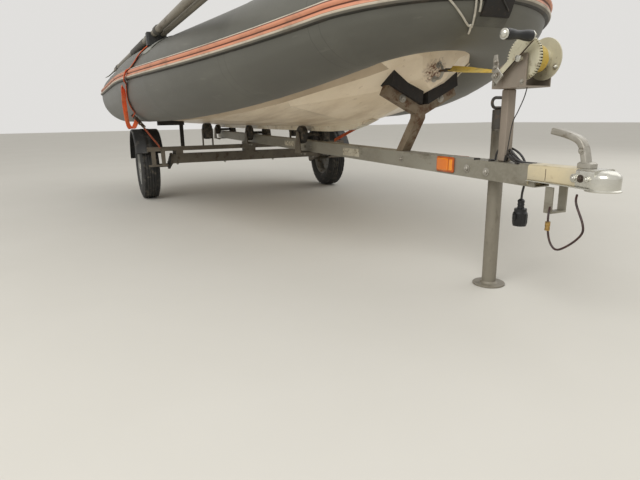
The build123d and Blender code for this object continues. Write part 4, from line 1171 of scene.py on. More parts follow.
@dataclass
class Strake:
    """The rubbing strake: a rubber band with two round ribs, along the tube's outer side.

    Args:
        tube: The tube that it lies on.
        half: Half its height.
        lift: How far its middle lies above the tube's middle along the sides.
        drop: How far it comes down by the nose.
        base: Thickness between the ribs.
        rib: Height of a rib over the base.
        rib_up: Height of each rib's middle off the strake's middle.
        rib_half: Half the width of a rib.
        bevel: Height over which its edges round off.
        root: How far its back lies inside the tube's skin.
    """

    tube: Tube
    half: float = 0.030
    lift: float = 0.045
    drop: float = 0.067
    base: float = 0.008
    rib: float = 0.006
    rib_up: float = 0.014
    rib_half: float = 0.012
    bevel: float = 0.004
    root: float = 0.003

    def middle(self, ahead: Array) -> Array:
        """Height of the strake's middle above the tube's middle."""
        return self.lift - self.drop * self.tube.share(ahead) ** 2

    def build(self) -> None:
        """Carries the profile round the tube: the base plus a cosine bulge for each rib."""
        tube = self.tube
        ahead = tube.stations()
        ahead = ahead[ahead >= tube.stern + tube.tail - 1e-6][:, None]
        up = np.linspace(-self.half, self.half, 31)
        ribs = (np.clip(abs(up - side * self.rib_up) / self.rib_half, 0, 1) for side in (-1, 1))
        bulge = sum(np.clip(np.cos(rib * math.pi / 2), 0, 1) for rib in ribs)
        edge = np.clip((self.half - abs(up)) / self.bevel, 0, 1) ** 0.5
        off = edge * self.base + self.rib * bulge ** 0.8
        heights = self.middle(ahead) + up
        skin = np.sqrt(tube.radius(ahead) ** 2 - heights ** 2)
        reach = np.concatenate([skin + off, (skin - self.root)[:, ::-1]], 1)
        heights = np.concatenate([heights, heights[:, ::-1]], 1)
        heading = tube.heading(ahead)
        port = np.stack([AXLE_X + ahead + reach * np.sin(heading), tube.out(ahead) + reach * np.cos(heading),
                         tube.height(ahead) + heights], -1)
        rings = np.concatenate([port, (port * MIRROR)[-2::-1]])
        across = np.concatenate([up, up[::-1], up[:1]])
        uv = np.stack(np.meshgrid(lengths(rings[:, 0]), across, indexing="ij"), -1)
        shape = Shape()
        shape.grid(rings, uv=uv)
        shape.build("strake_bands", [Coat.STRAKE], replaces=["rubbing_strake"], sharp=50.0)


@dataclass
class Hull:
    """The hull moulding under the tubes: rails, chines, the slanted nose and the light flange.

    Args:
        tube: The tube that it meets.
        bottom: Height of the keel over the rollers.
        deck: Height of the cockpit floor.
        side: How far the moulding goes up behind the tube.
        foot: Foot of the nose facet, ahead of the axle.
        lean: How far the facet leans forward, in radians.
        steps: Points on each straight side of a section, so that the sheen runs smoothly.
        sections: One row for each section: place ahead of the axle, height of the keel over the bottom,
            half-width and height of the rail, of the chine, and angle of the tube's edge in degrees.
        nose: Half-width and height of the facet's corners.
        tape_ends: The joint tape's ends, ahead of the axle.
        tape_widths: Places ahead of the axle, and the tape's width there as an angle in degrees.
    """

    tube: Tube
    bottom: float = 0.535
    deck: float = 0.640
    side: float = 0.016
    foot: float = 2.474
    lean: float = math.radians(26.7)
    steps: int = 4
    sections: tuple = (
        (-0.760, 0.000, 0.338, 0.559, 0.640, 0.581, 25.0), (0.700, 0.000, 0.330, 0.560, 0.606, 0.581, 25.0),
        (1.250, 0.000, 0.318, 0.567, 0.545, 0.590, 27.0), (1.600, 0.000, 0.300, 0.583, 0.470, 0.612, 29.0),
        (1.900, 0.009, 0.300, 0.625, 0.380, 0.647, 32.0), (1.950, 0.015, 0.352, 0.634, 0.364, 0.655, 32.5),
        (2.100, 0.039, 0.260, 0.650, 0.320, 0.678, 34.0), (2.230, 0.074, 0.200, 0.664, 0.260, 0.704, 35.0),
        (2.350, 0.108, 0.140, 0.678, 0.200, 0.729, 37.0), (2.450, 0.136, 0.080, 0.706, 0.150, 0.755, 38.0))
    nose: tuple = ((0.0, 0.678), (0.053, 0.716), (0.079, 0.784), (0.121, 0.802), (0.121, 0.826))
    tape_ends: tuple[float, float] = (1.30, 2.50)
    tape_widths: tuple = ((1.30, 2.10, 2.40, 2.47, 2.50), (1.0, 1.6, 3.0, 8.0, 6.0))

    def edge(self, ahead: Array, inboard: Array) -> tuple[Array, Array]:
        """Half-width and height of the line where the hull meets the tube.

        Args:
            ahead: Distance ahead of the axle.
            inboard: Angle from the tube's lowest line towards the middle, in radians.
        Returns:
            Half-width and height.
        """
        r, a = self.tube.radius(ahead), self.tube.heading(ahead)
        half = self.tube.out(ahead) - r * np.sin(inboard) * np.cos(a)
        return half, self.tube.height(ahead) - r * np.cos(inboard)

    def half_sections(self) -> Array:
        """Port half of each section, from the keel out and up, straight between the table's rows.

        Returns:
            Points, sections by five corners.
        """
        table = np.array(self.sections)
        ahead = np.unique(np.concatenate([np.linspace(a, b, 7) for a, b in zip(table[:-1, 0], table[1:, 0])]))
        keel, rail_y, rail_z, chine_y, chine_z, angle = (
            np.interp(ahead, table[:, 0], column) for column in table[:, 1:].T)
        edge_y, edge_z = self.edge(ahead, np.radians(angle))
        top = np.maximum(self.deck, edge_z + self.side)
        corners = ((0 * ahead, self.bottom + keel), (rail_y, rail_z), (chine_y, chine_z), (edge_y, edge_z),
                   (edge_y, top))
        body = np.stack([np.stack([AXLE_X + ahead, y, z], -1) for y, z in corners], 1)
        y, z = np.array(self.nose).T
        x = AXLE_X + self.foot + (z - self.nose[0][1]) * math.tan(self.lean)
        return np.concatenate([body, np.stack([x, y, z], -1)[None]])

    def build(self) -> None:
        """Makes the moulding and the flange strip along its edge."""
        half = self.half_sections()
        share = np.linspace(0.0, 1.0, self.steps + 1)[:, None]
        sides = [half[:, k:k + 1] + (half[:, k + 1:k + 2] - half[:, k:k + 1]) * share for k in range(4)]
        fine = np.concatenate([side[:, :-1] for side in sides] + [half[:, -1:]], 1)
        rings = np.concatenate([fine, (fine * MIRROR)[:, :0:-1]], 1)
        # the sides above the chine take a darker copy of the gelcoat, painted shade, but not at the nose
        tones = np.zeros((len(fine) - 1, rings.shape[1]), int)
        tones[:-2, 2 * self.steps:4 * self.steps] = 1
        tones[:-2, -4 * self.steps:-2 * self.steps] = 1
        shell = Shape()
        shell.grid(rings, tone=tones)
        shell.build("hull_shell", [Coat.GELCOAT, Coat.GEL_EDGE], replaces=["hull"], sharp=7.0)
        flange = Shape()
        flange.sweep(half[:-1, 3] + np.array([0.0, 0.003, -0.001]), rounded(0.007, 0.012, 0.002), UP)
        flange.mirrored()
        flange.build("hull_flange", [Coat.FLANGE])
        self.tape()
        dress_nodes({"keel_bar": Coat.FLANGE, "transom": Coat.DECK, "cockpit_floor": Coat.DECK,
                     "thwart": Coat.BOARD})
        pads = Shape()
        for back, front in ((-0.766, -0.7595), (-0.7155, -0.709)):
            pads.block(place(back, -0.17, 0.70), place(front, 0.17, 0.875), 0.004)
        pads.build("transom_pads", [Coat.PLASTIC])

    def tape(self) -> None:
        """Lays the joint tape on the tube beside the hull's edge: a strip that widens to the nose."""
        table = np.array(self.sections)
        under = 0.03             # how far it reaches under the edge, in radians
        ahead = np.linspace(*self.tape_ends, 70)[:, None]
        inner = -math.pi / 2 - np.radians(np.interp(ahead, table[:, 0], table[:, 6])) - under
        wide = np.radians(np.interp(ahead, *self.tape_widths)) + under
        angle = inner + wide * np.linspace(0.0, 1.0, 7)
        strip = Shape()
        strip.sheet(*(self.tube.skin(ahead, angle, lift) for lift in (0.0016, -0.001)))
        strip.mirrored()
        strip.build("joint_tape", [Coat.SEAM])


@dataclass
class BowGear:
    """What hangs on the nose of the tube, and the bow eye with its ring.

    Args:
        tube: The tube that it lies on.
        eye: Middle of the bow eye on the facet.
        eye_half: Half the width of the eye's bend.
        eye_reach: How far it stands out.
        rod: Radius of its rod.
        lean: How far the facet leans forward, in radians.
        rope_runs: Half-width and height of the points along each rope.
        lead_run: The same for the thin dark cord on the pocket.
    """

    tube: Tube
    eye: tuple[float, float, float] = (2.5042, 0.0, 0.738)
    eye_half: float = 0.024
    eye_reach: float = 0.034
    rod: float = 0.005
    lean: float = 0.466
    rope_runs: tuple = (
        ((-0.216, 0.945), (-0.172, 0.912), (-0.131, 0.880), (-0.100, 0.857), (-0.084, 0.848), (-0.079, 0.850),
         (-0.074, 0.842), (-0.068, 0.829)),
        ((-0.097, 0.935), (-0.092, 0.914), (-0.086, 0.890), (-0.079, 0.866), (-0.074, 0.852), (-0.072, 0.844)),
        ((-0.080, 0.935), (-0.076, 0.914), (-0.072, 0.896), (-0.070, 0.884)))
    lead_run: tuple = ((-0.020, 0.930), (0.006, 0.908), (0.030, 0.890))

    def on_nose(self, y: Array, z: Array, lift: float) -> Array:
        """Points on the nose of the tube from their half-width and height.

        Args:
            y: Distance to port.
            z: Height.
            lift: Distance off the skin.
        Returns:
            The points: the ring of the tube's outer side at that height, cut at that half-width.
        """
        y, z = np.broadcast_arrays(y, z)
        r = self.tube.nose_r + lift
        middle = float(self.tube.height(np.array(self.tube.nose)))
        flat = self.tube.nose_bend + np.sqrt(r ** 2 - (z - middle) ** 2)
        return np.stack([AXLE_X + self.tube.bend_x + np.sqrt(flat ** 2 - y ** 2), y, z], -1)

    def patch(self, shape: Shape, y: Point, z: Point, thick: float, tone: int = 0) -> None:
        """Adds a patch on the nose.

        Args:
            shape: The shape to add to.
            y: Its two half-widths.
            z: Its two heights.
            thick: How far it stands proud.
            tone: Number of its material.
        """
        grid_y, grid_z = np.meshgrid(np.linspace(*y, 14), np.linspace(*z, 10), indexing="ij")
        shape.sheet(*(self.on_nose(grid_y, grid_z, lift) for lift in (thick, -0.001)), tone)

    def build(self) -> None:
        """Makes the pocket, its pale patch, the ropes, the bow eye and the ring in it."""
        pocket = Shape()
        self.patch(pocket, (-0.066, 0.054), (0.848, 0.880), 0.002)
        self.patch(pocket, (-0.060, 0.046), (0.873, 0.925), 0.011, tone=1)
        pocket.build("bow_patch", [Coat.NOSE_PATCH, Coat.PAD], replaces=["bow_handle"])
        ropes = Shape()
        for run in self.rope_runs:
            y, z = smooth_line(np.array(run), 40).T
            ropes.sweep(self.on_nose(y, z, 0.006), circle(0.0033, 10), (1.0, 0.0, 0.3))
        y, z = smooth_line(np.array(self.lead_run), 24).T
        ropes.sweep(self.on_nose(y, z, 0.013), circle(0.0025, 8), (1.0, 0.0, 0.3), tone=1)
        ropes.build("bow_ropes", [Coat.ROPE, Coat.CABLE])
        eye = Shape()
        middle, bend = place(*self.eye), self.eye_half
        turn = np.linspace(-math.pi / 2, math.pi / 2, 25)
        arc = np.stack([self.eye_reach - bend + bend * np.cos(turn), 0 * turn, bend * np.sin(turn)], -1)
        legs = [np.array([[-0.012, 0.0, arc[0, 2]]]), arc, np.array([[0.004, 0.0, arc[-1, 2]]])]
        eye.sweep(middle + np.concatenate(legs), circle(self.rod, 14), PORT)
        for up in (-bend, bend):
            eye.bolt(middle + np.array([up * math.tan(self.lean), 0.0, up]),
                     (math.cos(self.lean), 0.0, -math.sin(self.lean)), 0.008)
        eye.build("bow_eye_rod", [Coat.PLATED], replaces=["bow_eye"])
        ring = Shape()
        back, height = self.eye[0] + self.eye_reach - 0.013, self.eye[2]
        turn = turns(48)
        oval = np.stack([0.026 * np.cos(turn), 0.011 * np.sin(turn), 0 * turn], -1)
        ring.sweep(place(back + 0.025, 0.0, height) + oval, circle(0.004, 10), UP, closed=True)
        ring.revolve([(0.004, -0.016), (0.006, -0.015), (0.006, 0.015), (0.004, 0.016)],
                     place(back + 0.048, 0.0, height), PORT, 16)
        ring.build("shackle_ring", [Coat.DARK_STEEL], replaces=["webbing_hook"])


@dataclass
class Wheels:
    """Both road wheels: a grooved tyre, a steel rim with its nuts and a hub cap.

    Args:
        radius: Radius over the tread.
        width: Width of the tyre.
        track: Distance between the wheels' middles.
        rim_r: Radius of the rim.
        crown: How much the tread falls to its edges.
        shoulder: Width of the tyre's round shoulder.
        grooves: Places of the grooves across the tread; those off the middle are on both sides.
        groove_half: Half the width of a groove.
        groove_deep: Depth of a groove.
        blocks: Shoulder blocks round the tyre.
        block_deep: Depth of the cuts between them.
    """

    radius: float = 0.243
    width: float = 0.145
    track: float = 1.537
    rim_r: float = 0.137
    crown: float = 0.005
    shoulder: float = 0.020
    grooves: tuple[float, ...] = (0.0, 0.018, 0.036)
    groove_half: float = 0.0036
    groove_deep: float = 0.006
    blocks: int = 36
    block_deep: float = 0.0045

    def tyre(self, side: int, name: str) -> None:
        """Turns the tyre's section round the axle, with grooves and shoulder blocks cut into the tread.

        Args:
            side: 1 for port and -1 for starboard.
            name: Name of the side.
        """
        half = self.width / 2
        tread = half - self.shoulder
        across = np.linspace(-tread, tread, 33)
        crown = self.radius - self.crown * (across / tread) ** 2
        grooved = sum(abs(abs(across) - groove) < self.groove_half for groove in self.grooves) > 0
        crown = crown - self.groove_deep * grooved
        share = np.linspace(0.0, 1.0, 9)
        bead = self.rim_r + 0.004
        wall_r = crown[-1] - (crown[-1] - bead) * share
        wall_y = (tread + self.shoulder * np.sin(np.clip(share * 1.25, 0, 1) * math.pi / 2)
                  - self.shoulder * share ** 3)
        profile = np.concatenate([
            np.stack([wall_r[::-1], -wall_y[::-1]], -1), np.stack([crown, across], -1)[1:-1],
            np.stack([wall_r, wall_y], -1), np.array([[bead - 0.006, 0.040], [bead - 0.006, -0.040]])])
        count = 4 * self.blocks
        angle = turns(count)
        on_shoulder = (abs(profile[:, 1]) > 0.038) & (profile[:, 0] > self.radius - 0.018)
        radius = profile[:, :1] - self.block_deep * on_shoulder[:, None] * (np.arange(count) % 4 == 0)
        points = np.stack([AXLE_X + radius * np.cos(angle),
                           np.repeat(side * (self.track / 2 + profile[:, 1:]), count, 1),
                           self.radius + radius * np.sin(angle)], -1)
        tyre = Shape()
        tyre.grid(points, closed=True)
        tyre.build("tyre_tread_" + name, [Coat.TYRE], "wheel_" + name, ["tyre_" + name], sharp=28.0)

    def rim(self, side: int, name: str) -> None:
        """Turns the rim's section, then adds the hub cap, the nuts and the valve.

        Args:
            side: 1 for port and -1 for starboard.
            name: Name of the side.
        """
        r, axis = self.rim_r, side * PORT
        hub = place(0.0, side * self.track / 2, self.radius)
        rim = Shape()
        rim.revolve([(r + 0.004, 0.050), (r + 0.005, 0.054), (r + 0.001, 0.055), (r - 0.006, 0.050),
                     (r - 0.010, 0.040), (r - 0.016, 0.034), (r - 0.020, 0.012), (r - 0.030, 0.006),
                     (0.088, 0.016), (0.078, 0.012), (0.056, 0.020), (0.046, 0.024), (0.020, 0.024),
                     (0.0142, 0.024), (0.0142, -0.006), (0.060, 0.000), (0.088, 0.002), (r - 0.026, -0.004),
                     (r - 0.022, -0.030), (r - 0.010, -0.044), (r + 0.001, -0.055), (r + 0.005, -0.054),
                     (r + 0.004, -0.050), (r - 0.007, -0.036), (r - 0.008, 0.036)], hub, axis, 72, closed=True)
        rim.revolve([(0.030, 0.022), (0.0305, 0.045), (0.027, 0.052), (0.016, 0.0555), (0.004, 0.056)],
                    hub, axis, 32, tone=1)
        for angle in np.radians([45, 135, 225, 315]):
            spoke = np.array([math.cos(angle), 0.0, math.sin(angle)])
            rim.bolt(hub + 0.055 * spoke + axis * 0.019, axis, 0.009, tone=1)
        rim.revolve([(0.003, 0.0), (0.003, 0.018), (0.002, 0.022)], hub + 0.100 * AHEAD + axis * 0.012, axis,
                    10, tone=2)
        rim.build("rim_disc_" + name, [Coat.RIM, Coat.BRIGHT, Coat.PLASTIC], "wheel_" + name,
                  ["wheel_rim_" + name])

    def build(self) -> None:
        """Makes both wheels."""
        for side, name in ((1, "port"), (-1, "starboard")):
            self.tyre(side, name)
            self.rim(side, name)


@dataclass
class Mudguards:
    """Curved mudguards with a rolled lip along both edges.

    Args:
        wheels: The wheels that they cover.
        radius: Inner radius over the wheel.
        thick: Thickness of the sheet.
        width: Width over the wheel.
        lip: Depth of the outer lip.
        front: Angle of the front end up from ahead, in radians.
        sweep: Angle that it spans, in radians.
        bend: Radius of the round shoulders.
        rib: Half-width and height of the points across its two ribs.
    """

    wheels: Wheels
    radius: float = 0.275
    thick: float = 0.004
    width: float = 0.190
    lip: float = 0.014
    front: float = math.radians(24.0)
    sweep: float = math.radians(146.0)
    bend: float = 0.010
    rib: tuple = ((-0.030, 0.0), (-0.026, 0.002), (-0.010, 0.002), (-0.006, 0.0),
                  (0.006, 0.0), (0.010, 0.002), (0.026, 0.002), (0.030, 0.0))

    def build(self) -> None:
        """Carries a section with ribs, round shoulders and a lip round an arc about the wheel."""
        half, bend, thick = self.width / 2, self.bend, self.thick
        outer = self.radius + thick
        turn = np.linspace(0.0, math.pi / 2, 6)
        shoulder = np.stack([half - bend + bend * np.sin(turn), outer - bend + bend * np.cos(turn)], -1)
        top = np.concatenate([shoulder[::-1] * [-1, 1], np.array(self.rib) + [0.0, outer], shoulder])
        drop = np.array([[half, self.radius - self.lip], [half - thick, self.radius - self.lip]])
        inner = (top - [0, thick])[::-1]
        inner[:, 0] = np.clip(inner[:, 0], -half + thick, half - thick)
        section = np.concatenate([top, drop, inner, drop[::-1] * [-1, 1]])
        angle = self.front + np.linspace(0.0, self.sweep, 60)[:, None]
        guards = Shape()
        for side in (1, -1):
            y = side * (self.wheels.track / 2) + section[:, 0]
            guards.grid(np.stack([AXLE_X + section[:, 1] * np.cos(angle), np.broadcast_to(y, (60, len(y))),
                                  self.wheels.radius + section[:, 1] * np.sin(angle)], -1))
        guards.build("mudguard_sheets", [Coat.PLASTIC], replaces=["mudguards"])


def node_box(node: str) -> tuple[Array, Array]:
    """Middle and size of a node's box.

    Args:
        node: The node's name.
    Returns:
        Its middle and its size along each axis.
    """
    low, high = (np.array(corner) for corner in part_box(node))
    return (low + high) / 2, high - low


@dataclass
class Rollers:
    """Keel and side rollers: rubber wheels with rounded treads on a sleeve.

    Args:
        bore: Radius of their bores.
        width: Width of each wheel of a twin.
        sleeve: Radius of the sleeve between them.
    """

    bore: float = 0.0078
    width: float = 0.040
    sleeve: float = 0.010

    def wheel(self, shape: Shape, at: Array, r: float, width: float) -> None:
        """Turns one rubber wheel: a round tread, a dished side and a hub ring.

        Args:
            shape: The shape to add to.
            at: Middle of the wheel.
            r: Its radius.
            width: Its width.
        """
        half = width / 2
        side = [(self.bore, half), (0.30 * r, half), (0.34 * r, half - 0.004), (0.62 * r, half - 0.005),
                (0.70 * r, half - 0.001), (0.86 * r, half - 0.001), (0.95 * r, half - 0.004)]
        tread = [(0.95 * r + 0.05 * r * math.sin(t), (half - 0.004) * math.cos(t))
                 for t in np.linspace(0.0, math.pi, 13)[1:-1]]
        shape.revolve(side + tread + [(q, -h) for q, h in side[::-1]], at, PORT, 48, closed=True)

    def build(self) -> None:
        """Makes the three twin keel rollers and both side rollers in their nodes' places."""
        for name in ("front", "middle", "rear"):
            middle, size = node_box("keel_roller_" + name)
            twin = Shape()
            for side in (1, -1):
                self.wheel(twin, middle + PORT * side * (size[1] - self.width) / 2, size[2] / 2, self.width)
            reach = size[1] / 2 - self.width
            twin.revolve([(self.bore, -reach), (self.sleeve, -reach), (self.sleeve, reach), (self.bore, reach)],
                         middle, PORT, 20, closed=True)
            twin.build("twin_roller_" + name, [Coat.ROLLER], "roller_" + name, ["keel_roller_" + name])
        for name in ("port", "starboard"):
            middle, size = node_box("side_roller_" + name)
            roller = Shape()
            self.wheel(roller, middle, size[2] / 2, size[1])
            roller.build("support_roller_" + name, [Coat.ROLLER], "roller_side_" + name,
                         ["side_roller_" + name])


@dataclass
class Chassis:
    """The trailer's steel: carried-over members, their bolts, labels and the cables on the drawbar.

    Args:
        bar_half: Half the drawbar's size.
        bar_z: Height of its middle over the axle.
        fall: How much it falls for each metre forward.
        bar_bolts: Place ahead of the axle of the bolts through the drawbar, height off its middle and
            radius of the head.
        labels: Start and end of the blank labels, ahead of the axle, their height off the bar's middle and
            half their height.
        loops: Places along the loops of the cable bundle, with the height over the drawbar's top.
    """

    bar_half: float = 0.030
    bar_z: float = 0.443
    fall: float = 0.0118
    bar_bolts: tuple = ((2.726, -0.002, 0.0092), (2.816, -0.004, 0.0092), (2.338, 0.0, 0.008),
                        (1.36, -0.002, 0.007), (1.44, -0.002, 0.007), (0.18, 0.0, 0.008), (0.34, 0.0, 0.008))
    labels: tuple = ((1.03, 1.19, 0.002, 0.016), (1.83, 1.99, -0.001, 0.019))
    loops: tuple = (
        ((2.8800, -0.010, 0.006), (2.8912, -0.016, 0.028), (2.9032, -0.020, 0.030), (2.9172, -0.026, 0.024),
         (2.9332, -0.022, 0.012), (2.9552, -0.014, 0.004), (2.9772, -0.010, 0.003)),
        ((2.8812, 0.012, 0.005), (2.8932, -0.002, 0.020), (2.9056, -0.028, 0.026), (2.9192, -0.026, 0.016),
         (2.9352, -0.010, 0.006), (2.9592, 0.004, 0.003), (2.9792, 0.006, 0.003)),
        ((2.8824, -0.022, 0.004), (2.8920, -0.026, 0.022), (2.9080, -0.028, 0.018), (2.9232, -0.024, 0.008),
         (2.9372, -0.024, 0.004), (2.9512, -0.020, 0.003)),
        ((2.8872, 0.000, 0.010), (2.8944, -0.018, 0.036), (2.9056, -0.024, 0.040), (2.9216, -0.024, 0.028),
         (2.9360, -0.014, 0.010), (2.9452, -0.004, 0.004)))

    def bar(self, ahead: float) -> float:
        """Height of the drawbar's middle at a distance ahead of the axle."""
        return self.bar_z - self.fall * ahead

    def build(self) -> None:
        """Dresses the steel nodes and adds the bolts, the labels, the end cap and the cables."""
        dress_nodes({"drawbar": Coat.GALVANISED, "prop_stand_clamp": Coat.GALVANISED,
                     "under_bracket": Coat.GALVANISED, "axle_beam": Coat.UNDERSIDE,
                     "axle_packers": Coat.UNDERSIDE, "suspension_arms": Coat.UNDERSIDE,
                     "cross_member": Coat.UNDERSIDE, "roller_brackets": Coat.UNDERSIDE,
                     "bow_cradle": Coat.RUSTY, "winch_post": Coat.POST, "cradle_pads": Coat.PAD,
                     "tube_rests": Coat.PAD})
        bolts = Shape()
        for ahead, up, size in self.bar_bolts:
            for way in (PORT, STARBOARD):
                bolts.bolt(place(ahead, way[1] * self.bar_half, self.bar(ahead) + up), way, size)
        for y in (0.565, 0.20, -0.20, -0.565):
            bolts.bolt(place(0.150, y, 0.268), -UP, 0.009)
        for side in (1, -1):
            for ahead in (1.375, 1.425, 0.375, 0.425, -0.585, -0.535):
                bolts.bolt(place(ahead, side * 0.062, self.bar(ahead) - self.bar_half - 0.0065), -UP, 0.007)
            bolts.bolt(place(2.38, side * 0.118, 0.653), (-0.35, side * 0.4, -0.8), 0.009)
        for y in (-0.088, 0.088):
            bolts.bolt(place(2.421, y, 0.648), AHEAD, 0.010)
        bolts.build("trailer_bolts", [Coat.PLATED])
        labels = Shape()
        for start, end, up, half in self.labels:
            labels.block(place(start, -0.0310, self.bar(start) - half + up),
                         place(end, -0.0296, self.bar(end) + half + up), 0.0004)
        labels.build("blank_labels", [Coat.LABEL])
        cap = Shape()
        low, high = (self.bar(-0.7) + way * (self.bar_half + 0.0005) for way in (-1, 1))
        cap.block(place(-0.706, -0.0305, low), place(-0.690, 0.0305, high), 0.003)
        cap.build("drawbar_cap", [Coat.PLASTIC])
        self.cables()

    def cables(self) -> None:
        """Makes the bundle of black cables on top of the drawbar, its clips and the lead that hangs to it."""
        top = self.bar(2.8) + self.bar_half
        bundle = Shape()
        for loop in self.loops:
            path = smooth_line(places(loop) + (top - 0.001) * UP, 70)
            bundle.sweep(path, circle(0.0034, 8), (0.0, 0.3, 1.0))
        for ahead in (2.760, 2.826, 2.935):
            bundle.block(place(ahead - 0.004, -0.031, top - 0.002),
                         place(ahead + 0.004, -0.008, top + 0.006), 0.002)
        hang = smooth_line(places(((2.938, -0.010, 0.664), (2.930, -0.012, 0.630), (2.912, -0.014, 0.590),
                                   (2.896, -0.014, 0.560), (2.888, -0.016, 0.500), (2.886, -0.020, 0.450))), 40)
        bundle.sweep(hang, circle(0.0016, 6), PORT)
        bundle.build("drawbar_cables", [Coat.CABLE])


@dataclass
class PropStand:
    """The prop stand: a tube with a collar and a round foot, and its flat oval handle.

    Args:
        ahead: Its place ahead of the axle.
        y: Its place to port.
        radius: Radius of the tube.
        top: Height of its top.
        foot_r: Radius of the foot.
        foot: Thickness of the foot.
        handle: Length and height of the handle's middle line.
        rod: Radius of the handle's rod.
    """

    ahead: float = 2.770
    y: float = 0.058
    radius: float = 0.024
    top: float = 0.600
    foot_r: float = 0.055
    foot: float = 0.006
    handle: tuple[float, float] = (0.074, 0.032)
    rod: float = 0.005

    def build(self) -> None:
        """Turns the tube and the foot, and bends the handle's rod round an oval."""
        foot = place(self.ahead, self.y, 0.0)
        r = self.radius
        stand = Shape()
        stand.revolve([(self.foot_r - 0.001, 0.0), (self.foot_r, 0.001), (self.foot_r, self.foot - 0.001),
                       (self.foot_r - 0.001, self.foot), (r + 0.007, self.foot + 0.0005),
                       (r + 0.0015, self.foot + 0.005), (r, self.foot + 0.007), (r, 0.318),
                       (r + 0.0004, 0.3185), (r + 0.0004, 0.321), (r, 0.3215), (r, self.top - 0.062),
                       (r, self.top - 0.061)], foot, UP)
        # a thin dark sleeve over the top 62 mm of the tube: painted shade
        stand.revolve([(r, self.top - 0.062), (r + 0.0008, self.top - 0.061), (r + 0.0008, self.top - 0.003),
                       (r - 0.002, self.top), (0.004, self.top)], foot, UP, tone=1)
        stand.build("prop_stand_tube", [Coat.STAND, Coat.HANDLE], "stand", ["prop_stand"])
        handle = Shape()
        length, height = self.handle
        bend = height / 2
        turn = np.linspace(-math.pi / 2, math.pi / 2, 17)
        half = np.stack([0 * turn, length / 2 - bend + bend * np.cos(turn), bend * np.sin(turn)], -1)
        middle = place(self.ahead, self.y, self.top + 0.021)
        handle.sweep(middle + np.concatenate([half, -half]), circle(self.rod, 12), AHEAD, closed=True)
        handle.build("stand_handle_ring", [Coat.HANDLE], "stand", ["stand_handle"])
        clamp = Shape()
        for shift in (-0.018, 0.018):
            clamp.bolt(place(self.ahead + shift, self.y + r + 0.004, 0.410), PORT, 0.010)
        clamp.build("clamp_bolts", [Coat.PLATED])


